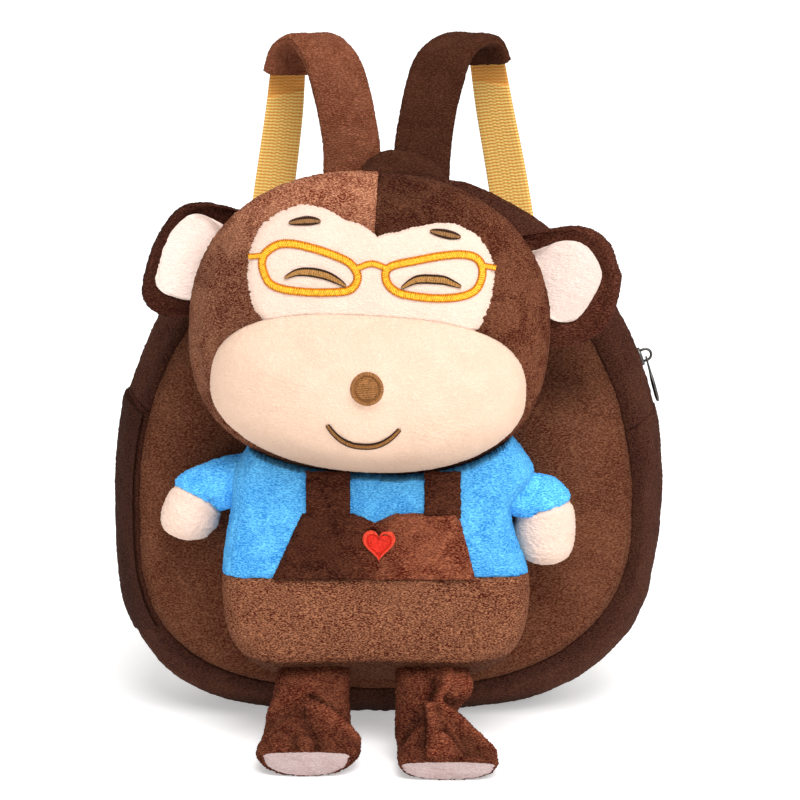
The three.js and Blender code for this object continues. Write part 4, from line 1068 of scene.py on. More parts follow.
# lines of both sides, steps along one, width, share of it at the ends, thread
EYE_STROKES = {
    "eye_": (EYES, 150, 4.0, 0.2, EYE_THREAD),
    "brow_": (BROWS, 90, 3.8, 0.12, BROW_THREAD),
}
for eye_piece, (eye_lines, eye_steps, eye_width, eye_end, eye_thread) in EYE_STROKES.items():
    for eye_side, eye_points in eye_lines.items():
        eye_spine = glide(eye_points, np.linspace(0, 1, eye_steps))
        eye_stroke = stroke(eye_spine, taper(eye_steps, eye_width, eye_end), mask_top_y)
        embroider(eye_piece + eye_side, [eye_stroke], eye_thread, "brown_thread")

# %% Spectacles
LENSES = (
    ((-46.3, 27.7), (-45.3, 31.8), (-40.6, 35.6), (-35.0, 36.7), (-26.6, 35.8), (-16.7, 33.4), (-9.6, 30.5),
     (-6.2, 25.9), (-7.0, 21.7), (-10.3, 19.1), (-18.6, 17.9), (-26.9, 17.5), (-36.7, 17.9), (-42.4, 19.8),
     (-45.1, 23.7)),
    ((45.8, 29.6), (44.5, 33.6), (40.8, 35.9), (34.5, 36.3), (26.2, 35.1), (17.3, 33.0), (9.1, 30.9),
     (5.8, 28.6), (5.6, 25.2), (7.6, 21.9), (11.9, 19.4), (20.3, 18.3), (28.6, 18.1), (36.9, 19.1),
     (42.4, 21.3), (45.0, 24.8)),
)


def loop(points, count):
    """A closed smooth line through points."""
    ring = np.asarray(points)
    wide = np.vstack([ring[-2:], ring, ring[:3]])
    return glide(wide, np.linspace(2, len(ring) + 2, count, endpoint=False) / (len(wide) - 1))


strokes = [stroke(loop(points, 420), np.full(420, 3.5), mask_top_y, closed=True) for points in LENSES]
line = np.linspace(0, 1, 60)[:, None]
bridge_line = glide(((-6.6, 28.6), (-0.6, 30.9), (6.0, 29.2)), line[:, 0])
strokes.append(stroke(bridge_line, np.full(60, 2.7), mask_top_y))
for temple_from, temple_to in (((-45.8, 31.0), (-52.3, 29.8)), ((45.6, 32.2), (51.4, 31.3))):
    temple_line = lerp(np.array(temple_from), np.array(temple_to), line[:40] / line[39])
    strokes.append(stroke(temple_line, np.full(40, 2.4), mask_top_y))
embroider("spectacles", strokes, GOLD_THREAD, "yellow_thread")

# %% Nose
NOSE_CENTRE, NOSE_RADIUS = (0.5, -18.7), 6.9


def nose():
    """A disc of stitches with a raised ring round it."""
    share, face = there_and_back(26, 4)
    angle = turns(90)[None]
    p = NOSE_CENTRE[0] + share * NOSE_RADIUS * np.cos(angle)
    q = NOSE_CENTRE[1] + share * NOSE_RADIUS * np.sin(angle)
    ring = 0.9 * hump(share - 0.9, 0.09) - 0.8 * hump(share - 0.72, 0.06)
    stitch = 0.12 * np.cos(2 * np.pi * (q + 0.35 * np.sin(p)) / THREAD_PITCH) * smooth(0.7 - share, 0, 0.1)
    rise = np.where(face, 0.3 + (0.9 + ring + stitch) * np.sqrt(np.maximum(1 - share**8, 0)), 0.1)
    marks = stacked(p, np.where(share > 0.74, 7 * angle, q), share)
    return tilted(p, muzzle_front_y(p, q) - rise, q), marks


embroider("nose", [nose()], NOSE_THREAD, "brown_thread")

# %% [markdown]
# ## The doll's body
# The body is a flat loaf on the bag's front: a blue shirt above the waist and brown trousers below. A
# section at each height is a squared half oval standing on the panel, and the front edge sits a little
# higher than the back.

# %% Body
BODY_CENTRE = (-4.5, 86.0)
BODY = Outline(67.5, 80.0, 64.0, 1.8, 4.0)
BODY_RISE, BODY_LIFT, BODY_SAG = 41.0, 5.0, 13.0
WAIST_Z, WAIST_ROLL, WAIST_GAP = 80.5, 0.9, 0.1


def body_crown(x, z):
    """The body's rise over its flat outline: nearly level, steep at the edge, (1 - share^22)^(1/4)."""
    share = np.minimum(share_of(BODY, BODY_CENTRE, x, z), 1)
    seam = 0.8 * hump(share - 0.94, 0.01)
    return BODY_RISE * (1 - share**22) ** 0.25 - seam


def body_lift(x, z, rise):
    """How much higher the front lies than the back: most at the lower edge, so the underside slopes."""
    angle = np.arctan2(z - BODY_CENTRE[1], x - BODY_CENTRE[0])
    share = np.minimum(share_of(BODY, BODY_CENTRE, x, z), 1)
    sag = BODY_SAG * share**1.5 * np.maximum(0, -np.sin(angle)) ** 2
    return (BODY_LIFT + sag) * np.minimum(1, rise / 34.0)


def body_front_y(x, z):
    """The body's face at a place seen from the front."""
    return front_panel_y(x, z) - GAP - body_crown(x, z - BODY_LIFT)


def edgewise(count):
    """Shares from 0 to 1 that crowd together towards 1: 1 - (1 - t)^3."""
    return 1 - (1 - np.linspace(0, 1, count)) ** 3


def head_back_y(x, z):
    """The head's rear face over a place on the body, and far in front where no head is."""
    p = (x - HEAD_X) * np.cos(HEAD_TILT) - (z - HEAD_Z) * np.sin(HEAD_TILT)
    q = (x - HEAD_X) * np.sin(HEAD_TILT) + (z - HEAD_Z) * np.cos(HEAD_TILT)
    share = share_of(HEAD_OUTLINE, (0.0, 0.0), p, q)
    back = HEAD_RIM_Y + HEAD_DEPTH * np.sqrt(np.maximum(1 - share**HEAD_POWER, 0))
    return np.where(share < 1, back, -1e3)


def loaf(heights, seed):
    """Sections of the body at those heights, pressed in by the arms, with the waist's edge rolled in."""
    out = edgewise(110)
    across = np.concatenate([-out[:0:-1], out])
    side = np.concatenate([across, np.linspace(1, -1, 12)[1:-1]])[None]
    front = (np.arange(side.shape[1]) < len(across))[None]
    z = heights[:, None]
    tall = np.abs(z - BODY_CENTRE[1]) / np.where(z > BODY_CENTRE[1], BODY.up, BODY.down)
    power = np.where(z > BODY_CENTRE[1], BODY.up_power, BODY.down_power)
    away = side * BODY.half * np.maximum(1 - tall**power, 0) ** (1 / power)
    rise = np.where(front, body_crown(BODY_CENTRE[0] + away, z), 0.0)
    painted_floor_shade = 1 - np.where(side > 0, 0.1, 0.03) * hump(z - 98, 16)
    shoulder = 1 + np.where(side > 0, 0.2, 0.06) * smooth(z, 104, 124)
    x = BODY_CENTRE[0] + away * painted_floor_shade * shoulder
    sway = cloud(stacked(x, rise, z), 26.0, seed)
    sway = sway - WAIST_ROLL * hump(z - WAIST_Z + BODY_LIFT, 1.2)
    rise = np.maximum(rise + sway * rise / BODY_RISE, 0)
    place_z = z + body_lift(x, z, rise)
    seat = front_panel_y(x, place_z) - GAP
    y = np.maximum(seat - rise, np.minimum(head_back_y(x, place_z) + GAP, seat))
    return capped(stacked(x, y, place_z))


SHIRT_TOP = 136.0
TROUSER_END = BODY_CENTRE[1] - BODY.down
waist_cut = WAIST_Z - BODY_LIFT
shirt_heights = np.linspace(waist_cut + WAIST_GAP, SHIRT_TOP, 80)
make("shirt", loaf(shirt_heights, 23), BLUE, "blue_velour", nap=0.3, fuzz=0.35, cell=1.2, fill=0.7)
trouser_top = waist_cut - WAIST_GAP
trouser_heights = trouser_top - (trouser_top - TROUSER_END) * edgewise(90)


def trouser_underside_shade(grid):
    """The trousers are a little lighter all over, and painted dark under the body, a painted shade on the
    underside.
    """
    return 0.12 - 1.2 * smooth(43.4 - grid[..., 2], 0, 2.4)


make("trousers", loaf(trouser_heights, 29), TROUSER_PLUSH, "plush_trouser", nap=0.3, fuzz=0.4,
     pile_and_painted_light=trouser_underside_shade, fill=0.7)

# %% [markdown]
# The dungarees' bib lies on the shirt, with a notch in its upper hem, two braces that run up under the
# chin, and a red heart. Each is a thin sheet on the body's face, its edges turned under.

# %% Bib and braces
BIB_TOP, BIB_BOTTOM = 109.5, 80.6
BIB_LEFT, BIB_RIGHT = (-49.0, -36.0), (38.5, 31.0)
NOTCH_X, NOTCH_HALF, NOTCH_DEPTH = -4.7, 9.0, 4.0
BIB_COLUMNS = 150
SHEET_STAND, SHEET_EDGE = 0.6, 0.4
BRACE_TOP, BRACE_LAP = 128.0, 2.0


def sheet_on_body(across, up, x, z, thick):
    """A closed sheet: its face stands off the body by a thickness that fades at its edges."""
    sides = smooth(across, 0, 0.03) * smooth(1 - across, 0, 0.03)
    edge = sides * smooth(up, -0.02, 0.03) * smooth(1 - up, 0, 0.04)
    rise = SHEET_STAND + SHEET_EDGE + thick * edge
    face = stacked(x, body_front_y(x, z) - rise, z)
    back = stacked(x, body_front_y(x, z) - SHEET_STAND, z)
    return hemmed(np.concatenate([face, back[:, ::-1]], axis=1))


def bib():
    """Rows run up from the waist; the upper rows dip into the notch, and folds run down from it."""
    across, up = np.linspace(0, 1, BIB_COLUMNS)[None], np.linspace(0, 1, 64)[:, None]
    x = lerp(lerp(*BIB_LEFT, up), lerp(*BIB_RIGHT, up), across)
    dip = NOTCH_DEPTH * np.maximum(0, 1 - np.abs(x - NOTCH_X) / NOTCH_HALF)
    z = lerp(BIB_BOTTOM, BIB_TOP - dip, up)
    side = x - NOTCH_X
    hem = 0.8 * hump(up - 0.93, 0.05)
    flap = 2.2 * hump(side + 8.5 - 7.0 * (1 - up), 3.0) * smooth(up, 0.72, 0.98) * smooth(-side, 1.0, 3.0)
    fold = 1.5 * hump(side - 8.0 + 14 * (1 - up), 3.0) * smooth(up, 0.35, 0.9)
    valley = -0.9 * hump(side + 2.0 * (1 - up), 2.6) * smooth(up, 0.45, 0.9)
    slack = 0.8 * cloud(stacked(x, 0.0, z), 14.0, 31)
    slack = slack + 0.5 * cloud(stacked(x, 0.0, z), 6.0, 33)
    return sheet_on_body(across, up, x, z, 1.6 + hem + flap + fold + valley + slack)


def brace(left, right):
    """A strip from the bib's hem up under the chin."""
    across, up = np.linspace(0, 1, 40)[None], np.linspace(0, 1, 50)[:, None]
    x = lerp(left, right, across)
    z = lerp(BIB_TOP - BRACE_LAP, BRACE_TOP, up) + 0 * across
    return sheet_on_body(across, up, x, z, 1.3 + 0 * x)


def bib_lean(grid):
    """The bib's pile lies down on its left and up on its right."""
    return lerp(-0.85, 1.0, smooth(grid[..., 0], -26, 12))


BRACES = {"left": (-34.2, -15.3), "right": (16.4, 32.0)}
bib_grid = bib()
sewn = make("bib", bib_grid, BIB_PLUSH, "plush_trouser", nap=0.3, pile_and_painted_light=bib_lean)
for brace_name, (brace_left, brace_right) in BRACES.items():
    brace_grid = brace(brace_left, brace_right)
    sewn = make("brace_" + brace_name, brace_grid, BIB_PLUSH, "plush_trouser", nap=0.3, pile_and_painted_light=-0.7)

# %% Heart
HEART_X, HEART_Z, HEART_HALF, HEART_HEIGHT = -3.0, 96.3, 7.1, 14.0


def heart_reach(angle):
    """A heart's reach round its middle: two lobes, a notch above and a point below."""
    t = np.linspace(0, 2 * np.pi, 721)
    x = HEART_HALF * np.sin(t) ** 3
    z = HEART_HEIGHT / 29 * (13 * np.cos(t) - 5 * np.cos(2 * t) - 2 * np.cos(3 * t) - np.cos(4 * t)) + 0.6
    bearing = np.arctan2(z, x)
    order = np.argsort(bearing)
    return np.interp(angle, bearing[order], np.hypot(x, z)[order], period=2 * np.pi)


def heart():
    """A satin stitched patch with a raised border."""
    share, face = there_and_back(30, 4)
    angle = turns(160)[None]
    distance = share * heart_reach(angle)
    x, z = HEART_X + distance * np.cos(angle), HEART_Z + distance * np.sin(angle)
    border = 0.8 * hump(share - 0.87, 0.09) - 0.6 * hump(share - 0.7, 0.05)
    stitch = 0.1 * np.cos(2 * np.pi * (z + 0.6 * x) / THREAD_PITCH) * smooth(0.75 - share, 0, 0.1)
    rise = np.where(face, 2.9 + (0.6 + border + stitch) * np.sqrt(np.maximum(1 - share**10, 0)), 2.6)
    y = body_front_y(x, z) - rise
    marks = stacked(x, np.where(share > 0.7, 9 * angle, z + 0.6 * x), share)
    return stacked(x, y, z), marks


embroider("heart", [heart()], HEART_THREAD, "red_thread")

# %% [markdown]
# ## Limbs
# An arm is a stuffed tube: oval sections carried along a short table of places and sizes. The sleeve ends
# at the cuff and the hand goes on to its round tip. A leg is a limp, flat tube that lies down to the floor.

# %% Carried sections
def carry(middle, across, through, sides, fullness, below=None):
    """Oval sections about middle, with half axes across and through, boxier where fullness is small.

    below is the half axis of their lower halves, if it differs.
    """
    angle = turns(sides)
    wide = bent(np.cos(angle), fullness)[None, :, None]
    deep = bent(np.sin(angle), fullness)[None, :, None]
    lower = through if below is None else below
    half = np.where(deep > 0, through[:, None], lower[:, None])
    return middle[:, None] + across[:, None] * wide + half * deep


# %% Arms
# x, y, z, half width, half thickness
ARMS = {
    "left": (
        (-59, -66, 120, 10, 9), (-74, -63.8, 116.3, 10.6, 9.5), (-80.5, -61.8, 113, 11.2, 9.6),
        (-84.3, -60, 107, 12, 10.2), (-87, -58.5, 100, 12.2, 10.5), (-88, -58, 94.2, 9, 8),
        (-88.4, -58, 91.5, 3.5, 3.5),
    ),
    "right": (
        (50, -70, 117, 9, 9), (61, -68.6, 112.8, 9.8, 9.5), (67.2, -67.4, 110, 11.4, 10),
        (69.2, -66.6, 104.2, 12.4, 10.4), (69.6, -66, 95, 12.8, 10.8), (69.7, -66, 86.5, 10.5, 9.5),
        (69.7, -66, 82.5, 4.5, 4.5),
    ),
}
CUFF = 2.5 / 6
CUFF_SLANTS = {"left": 0.55, "right": 0.15}


def sleeve_swell(t):
    """Soft waves along the sleeve, and its cuff drawn in."""
    return 1 + 0.03 * np.sin(9 * t) - 0.1 * smooth(t, 0.9, 1)


def hand_swell(t):
    """The hand starts a little narrower, inside the cuff."""
    return lerp(0.9, 1.0, smooth(t, 0, 0.12))


def arm(rows, cuff_slant, start, end, count, shape, seed, slack):
    """Part of an arm: shape(share) swells its sections, which slant near the cuff, with creases across it."""
    share = np.linspace(start, end, count)
    row = glide(rows, share)
    middle = row[:, :3]
    heading = unit(np.gradient(middle, axis=0))
    across = unit(np.cross(heading, np.array([0.0, 1.0, 0.0])))
    slant = cuff_slant * hump(share - CUFF, 0.25)
    through = np.cross(across, heading) + slant[:, None] * heading
    swell = shape(np.linspace(0, 1, count))[:, None]
    grid = carry(middle, across * row[:, 3:4] * swell, through * row[:, 4:5] * swell, 140, 0.95)
    crease = cloud(grid * np.array([0.5, 0.5, 1.0]), 7.0, seed)
    outward = unit(grid - middle[:, None])
    grid = capped(grid + outward * 0.4 * crease[..., None])
    held = np.zeros(grid.shape[:2], bool)
    held[:3] = True
    held[-3:] = True
    return settle(grid, held, pressure=0.8, slack=slack, stride=(3, 5), most=2.0)


def sleeve_light_and_shade(grid):
    """A sleeve is painted light on top, a painted highlight, and dark in the armpit, a painted shade."""
    return lerp(-0.35, 0.4, smooth(grid[..., 2], 94, 110))


HAND_LEANS = {"left": 0.15, "right": 0.0}
for arm_name, arm_rows in ARMS.items():
    sleeve = arm(arm_rows, CUFF_SLANTS[arm_name], 0.0, CUFF + 0.01, 90, sleeve_swell, 41, 0.05)
    hand = arm(arm_rows, CUFF_SLANTS[arm_name], CUFF - 0.005, 1.0, 110, hand_swell, 43, 0.02)
    make("sleeve_" + arm_name, sleeve, BLUE, "blue_velour", nap=0.3, fuzz=0.35, cell=1.2, fill=0.6,
         pile_and_painted_light=sleeve_light_and_shade)
    make("hand_" + arm_name, hand, PEACH, "peach_velour", nap=0.2, fuzz=0.4, cell=0.9, fill=0.8,
         pile_and_painted_light=HAND_LEANS[arm_name])

# %% Legs and soles
# y, z, pitch in degrees, thickness above and below the middle
LEG_ROWS = {
    "left": (
        (-70, 37, 52, 5, 5), (-80, 26, 48, 6.5, 6.5), (-90, 17, 38, 8, 8.5), (-100, 10, 28, 7.5, 9.7),
        (-108, 9.2, 15, 4.6, 9.0), (-114, 9.2, 5, 1.6, 9.0),
    ),
    "right": (
        (-70, 37, 52, 5, 5), (-81, 26, 48, 6.5, 6.5), (-92, 17, 38, 8, 8.5), (-103, 9.2, 28, 7.5, 9.0),
        (-112, 7.0, 15, 4.4, 6.8), (-118.5, 6.4, 5, 1.4, 6.2),
    ),
}
# left and right edge at even steps along each leg
LEG_EDGES = {
    "left": (
        (-47, -16.2), (-48.5, -15.9), (-50, -15.6), (-50.8, -15.3), (-51.6, -15), (-53, -13.4),
        (-54.3, -12), (-54.8, -11.6), (-54.8, -12.3), (-54, -13.8), (-52.5, -15.5),
    ),
    "right": (
        (4.2, 35.5), (4, 36.4), (3.9, 35.6), (3.9, 31.4), (4, 35.5), (4.3, 40.5), (4.6, 44.5), (5, 46.8),
        (5.3, 47.6), (5.9, 47.4), (6.5, 46.4),
    ),
}
# folds: from and to, as shares across and along the leg, rise or depth, and width in mm
LEG_FOLDS = {
    "left": (
        (0.0, 0.27, 1.0, 0.46, -2.4, 1.5), (0.1, 0.36, 0.95, 0.58, 1.4, 4.0),
        (-1.0, 0.34, -0.1, 0.22, 0.9, 4.5), (-0.9, 0.46, 0.0, 0.34, -0.9, 4.0),
        (-0.14, 0.42, 0.26, 0.85, -1.7, 2.2), (0.26, 0.85, 0.3, 1.0, -1.7, 2.0),
        (-0.25, 0.68, -0.2, 1.0, -1.3, 1.5), (-0.6, 0.7, -0.5, 0.95, 0.8, 4.0),
    ),
    "right": (
        (0.5, 0.27, 0.95, 0.29, -3.0, 2.2), (0.6, 0.12, 0.85, 0.16, 1.8, 5.0),
        (0.28, 0.04, 0.28, 0.3, 1.6, 2.4), (0.05, 0.15, 0.06, 0.28, -2.4, 1.7),
        (0.1, 0.38, -0.15, 0.85, 2.0, 4.0), (-0.2, 0.36, -0.5, 0.65, -2.0, 2.2),
        (-0.5, 0.65, -0.5, 1.0, -1.7, 1.9), (0.15, 0.38, 0.05, 0.55, -2.0, 1.9),
        (0.05, 0.55, 0.4, 0.85, -1.6, 1.7), (-1.0, 0.57, -0.5, 0.42, -2.6, 3.0),
        (0.4, 0.36, 0.95, 0.65, 1.5, 3.0), (0.35, 0.58, 0.5, 0.88, -1.5, 1.4),
        (0.55, 0.6, 0.7, 0.9, -1.3, 1.4),
    ),
}
FOLD_SPAN = np.array([20.0, 58.0])
SOLE_RISE, SOLE_LAP = 2.2, 1.8
LEG_SIDES, SOLE_SIDES, LEG_FULLNESS = 220, 120, 0.85
LEG_CLEARANCE = 0.15


def leg_sections(leg_name, share):
    """Middle and the three half axes of a leg, across, above and below, at shares of its length."""
    row = glide(LEG_ROWS[leg_name], share)
    left, right = glide(LEG_EDGES[leg_name], share).T
    pitch = np.radians(row[:, 2])
    zero = np.zeros_like(share)
    middle = np.column_stack([(left + right) / 2, row[:, :2]])
    across = np.column_stack([(right - left) / 2, zero, zero])
    upward = np.column_stack([zero, -np.sin(pitch), np.cos(pitch)])
    return middle, across, upward * row[:, 3:4], upward * row[:, 4:5]


def leg_grid(leg_name, share, sides):
    """A leg's sections, thicker above or below their middle."""
    middle, across, above, below = leg_sections(leg_name, share)
    return carry(middle, across, above, sides, LEG_FULLNESS, below)


def folds(table, u, v):
    """Ridges and creases: each a bell of the distance from its line, in mm."""
    place = stacked(u, v) * FOLD_SPAN
    total = 0.0
    for u0, v0, u1, v1, rise, width in table:
        start, run = np.array([u0, v0]) * FOLD_SPAN, np.array([u1 - u0, v1 - v0]) * FOLD_SPAN
        share = np.clip((place - start) @ run / (run @ run), 0, 1)
        away = np.linalg.norm(place - start - share[..., None] * run, axis=-1)
        total = total + rise * hump(away, width)
    return total


def leg(leg_name, seed):
    """The limp tube with folds on its upper face, above the floor, and the light and shade painted on those
    folds.
    """
    share, angle = np.linspace(0, 1, 150), turns(LEG_SIDES)
    grid = leg_grid(leg_name, share, LEG_SIDES)
    middle = leg_sections(leg_name, share)[0]
    outward = unit(grid - middle[:, None])
    upper = smooth(np.sin(angle), -0.2, 0.3)[None]
    crease = folds(LEG_FOLDS[leg_name], np.cos(angle)[None], share[:, None]) * upper
    crease = crease * smooth(1 - share, 0, 0.05)[:, None]
    grid = capped(grid + outward * (1.3 * crease + 0.2 * cloud(grid, 8.0, seed))[..., None])
    held = np.zeros(grid.shape[:2], bool)
    held[:4] = True
    held[-8:] = True
    grid = settle(grid, held, pressure=0.2, slack=0.03, stride=(3, 4), most=1.0, bending=0.3)
    grid[..., 2] = np.maximum(grid[..., 2], LEG_CLEARANCE)
    # painted light and shade: the folds' ridges lighter and their creases darker
    return grid, np.pad(0.45 * crease, ((1, 1), (0, 0)), mode="edge")


def sole(leg_name):
    """The pale end of a foot: a shallow dome on the leg's last section that laps round its lower edge."""
    share, face = there_and_back(24, 4)
    angle = turns(SOLE_SIDES)
    tip = np.array([1.0])
    end = leg_grid(leg_name, tip, SOLE_SIDES)
    across, above = (part[0] for part in leg_sections(leg_name, tip)[1:3])
    onward = unit(np.cross(across, above))
    lap = smooth(-np.sin(angle), -0.1, 0.4)[None]
    dome = np.where(face, SOLE_RISE * (1 - share**3) + GAP, GAP) - SOLE_LAP * lap * smooth(share, 0.86, 1.0)
    scale = share * lerp(0.98, 1.06, lap)
    core = end.mean(axis=(0, 1))
    grid = core + scale[..., None] * (end - core) + onward * dome[..., None]
    grid[..., 2] = np.maximum(grid[..., 2], LEG_CLEARANCE)
    return grid


for leg_name in LEG_ROWS:
    leg_skin, leg_fold_shading = leg(leg_name, 51)
    make("leg_" + leg_name, leg_skin, LEG_PLUSH, "plush_trouser", nap=0.3, fuzz=0.7, pile_and_painted_light=leg_fold_shading, fill=0.3)
    make("sole_" + leg_name, sole(leg_name), SOLE_PALE, "pale_velour", nap=0.16, fuzz=0.3, cell=0.9, fill=0.2)

# %% [markdown]
# ## Straps
# Each shoulder strap starts as a padded plush band behind the bag, arches up and back, and goes on as
# ribbed webbing down to the lower corner. A flat section is carried along a route that both sides share.

# %% Strap routes
# which way the side lies, lift of the strap's tip, spread of its webbing
STRAP_SIDES = {"left": (-1, 0.0, 1.0), "right": (1, 5.0, 5.0)}
PAD_WIDTH, PAD_THICK, PAD_SIDES = 27.0, 7.0, 110
# x, y, z, turn of the width in degrees, share of the side's own lift and of its spread
PAD_ROUTE = (
    (16, 44.6, 221, 0, 0, 0), (16.5, 46.6, 246, 0, 0, 0), (19.5, 48.6, 272, 10, 0, 0),
    (25.5, 54, 294, 22, 0.1, 0), (35, 63.5, 304.5, 33, -0.1, 0), (44, 72, 300.5, 38, 0.55, 0),
    (47.5, 76, 289, 35, 1, 0),
)
WEB_WIDTH, WEB_THICK, WEB_RIB, WEB_COLUMN = 20.0, 1.6, 1.55, 2.0
WEB_FOLD, WEB_STEPS = 14.6, 1020
WEB_ROUTE = (
    (46.4, 75, 292.6, 35, 1, 0), (47.8, 76.4, 288.4, 35, 1, 0), (49.5, 79, 268, 27, 0.7, 0.4),
    (53.5, 81, 236, 18, 0.2, 0.9),
    (60, 80.5, 190, 10, 0, 1.1), (70, 77, 140, 5, 0, 0.7), (80, 67, 95, 0, 0, 0.2), (86, 50, 62, 0, 0, 0),
    (89, 42.4, 44, 0, 0, 0),
)
PAD_LEANS = {"left": 1.3, "right": -0.35}


def strap_route(route, side, count):
    """Middle line of a strap, with its width and thickness directions at each step."""
    sign, lift, fan = side
    row = glide(route, np.linspace(0, 1, count))
    middle = np.column_stack([sign * (row[:, 0] + row[:, 5] * fan), row[:, 1], row[:, 2] + row[:, 4] * lift])
    heading = unit(np.gradient(middle, axis=0))
    turn = -sign * np.radians(row[:, 3])
    across = np.column_stack([np.cos(turn), np.sin(turn), 0 * turn])
    across = square_to(across, heading)
    return middle, across, np.cross(heading, across)


def pad(side):
    """The padded strap: a flat stuffed tube, drawn in along its two edge seams."""
    middle, across, through = strap_route(PAD_ROUTE, side, 190)
    grid = carry(middle, across * PAD_WIDTH / 2, through * PAD_THICK / 2, PAD_SIDES, 0.62)
    angle = turns(PAD_SIDES)[None, :, None]
    seam = hump(np.sin(angle), 0.1) * 0.6
    sway = 0.7 * cloud(grid, 16.0, 61)[..., None]
    return capped(grid + unit(grid - middle[:, None]) * (sway - seam))


def web(side):
    """The webbing: a flat band with ribs across both faces. Below the pad its end is folded back."""
    middle, across, through = strap_route(WEB_ROUTE, side, WEB_STEPS)
    run = run_along(middle)[:, None]
    face = np.linspace(-1, 1, 41)
    place = np.concatenate([face, face[::-1]])[None]
    facing = np.repeat([1, -1], len(face))[None]
    column = place * WEB_WIDTH / 2 / WEB_COLUMN
    shift = np.floor(column + 1e-6) % 2 * 0.3 * hump(place, 0.5)
    rib = 0.5 + 0.5 * np.cos(2 * np.pi * (run / WEB_RIB + shift))
    groove = np.abs(np.cos(np.pi * column)) ** 6
    wide = place * WEB_WIDTH / 2
    folded = smooth(run - WEB_FOLD - 0.2 * side[0] * wide, -0.7, 0.7)
    thick = facing * (WEB_THICK / 2 * (1 - place**12) * lerp(0.6, 1.0, folded) + 0.25 * rib - 0.15 * groove)
    # painted light and shade: rib tops lighter, darker between the ribs and in the grooves, and a painted
    # shadow under the pad on the web above its fold
    shade = rib * (1 - 0.3 * groove) * lerp(0.45, 1.0, folded)
    marks = stacked(wide, run, shade)
    sideways = across[:, None] * (wide + 0 * run)[..., None]
    grid = middle[:, None] + sideways + through[:, None] * thick[..., None]
    grid[..., 1] += 1.2 * (1 - folded)
    return hemmed(grid), hemmed(marks), run[-1, 0]


def webbing():
    """Golden tan webbing: painted highlights on the ribs' tops and painted shade between them, with a fine
    thread grain.
    """
    made, tree, shader = material("webbing", 0.7, 0.1)
    place = put(tree, "Attribute", attribute_name="cloth").outputs["Vector"]
    # the cloth attribute's third value: the painted light and shade of the ribs and of the fold
    rib = put(tree, "SeparateXYZ", {0: place}).outputs["Z"]
    grain = put(tree, "TexNoise", {"Vector": place, "Scale": 1.4, "Detail": 3.0}).outputs["Fac"]
    mixed = sums(tree, "ADD", sums(tree, "MULTIPLY", rib, 0.85), sums(tree, "MULTIPLY", grain, 0.2))
    tone = blend(tree, mixed, paint(226, 130, 40), paint(255, 236, 142))
    tree.links.new(tone, shader.inputs["Base Color"])
    emboss(tree, shader, grain, 0.4, PILE_DEPTH)
    return made


WEBBING = webbing()
for strap_name, strap_side in STRAP_SIDES.items():
    make("strap_pad_" + strap_name, pad(strap_side), STRAP_PLUSH, "plush_mid", nap=0.2, fuzz=0.3, fill=0.6,
         pile_and_painted_light=PAD_LEANS[strap_name])
    web_grid, web_marks, web_length = web(strap_side)
    sewn = make("strap_web_" + strap_name, web_grid, WEBBING, "webbing", marks=[web_marks])

# %% [markdown]
# The grab loop is a short stuffed band at the top, a little twisted.

# %% Grab loop
LOOP_Y, LOOP_LEAN, LOOP_TWIST = 28.0, np.radians(27.0), np.radians(84.0)
LOOP_WIDTH, LOOP_THICK = 14.0, 4.5
LOOP_ARCH = ((-12, 1), (-11, 5.4), (-5, 9.6), (6, 11.0), (18, 9.6), (25.5, 5.4), (27, 1))


def grab_loop():
    """The arch stands on the gusset's back strip and leans back; midway the band turns to the viewer."""
    share = np.linspace(0, 1, 130)
    row = glide(LOOP_ARCH, share)
    outward = np.array([0.0, np.sin(LOOP_LEAN), np.cos(LOOP_LEAN)])
    foot = gusset_point(np.arctan2(BACK_SEAM.up, row[:, 0]), (LOOP_Y - FRONT_SEAM_Y) / DEPTH, 0.0)
    middle = np.column_stack([row[:, 0], foot[:, 1], foot[:, 2]]) + outward * row[:, 1:2]
    heading = unit(np.gradient(middle, axis=0))
    turn = LOOP_LEAN - LOOP_TWIST * np.sin(np.pi * share) ** 2
    across = np.column_stack([0 * turn, np.cos(turn), -np.sin(turn)])
    across = square_to(across, heading)
    through = unit(np.cross(heading, across))
    grid = carry(middle, across * LOOP_WIDTH / 2, through * LOOP_THICK / 2, 80, 0.7)
    return capped(grid + unit(grid - middle[:, None]) * 0.7 * cloud(grid, 8.0, 71)[..., None])


make("grab_loop", grab_loop(), STRAP_PLUSH, "plush_dark", nap=0.35, fill=0.5, pile_and_painted_light=-0.5)

# %% [markdown]
# ## Zip
# The tape lies in a slit along the gusset's crest with a ridge of teeth on it. Its slider and puller are
# metal.

# %% Zip tape
ZIP_RECESS, ZIP_TAPE, COIL_RISE, TOOTH_PITCH = 2.3, 1.1, 1.1, 2.0


def tape_face(share, angle, across):
    """Flat cloth with two rows of alternate teeth in its middle."""
    run = angle * CREST.half / TOOTH_PITCH
    wave = 0.5 * np.cos(2 * np.pi * run)
    teeth = hump(across - 0.42, 0.09) * (0.5 + wave) + hump(across - 0.58, 0.09) * (0.5 - wave)
    return COIL_RISE * np.minimum(teeth, 1) - ZIP_RECESS


ZIP_TURN = turns(1000, ZIP_FROM, ZIP_TO, whole=False)
zip_grid = strip(ZIP_TURN, (ZIP_LOW, ZIP_HIGH), 26, tape_face, set_in(ZIP_RECESS + ZIP_TAPE))
make("zip_tape", zip_grid, ZIP_CLOTH, "zip_cloth")

# %% [markdown]
# The slider straddles the teeth and carries a wire crown. The puller's eye hangs on that crown, a thin neck
# joins it to a flat tab with rounded sides. They are worked out down, across and out of the zip.

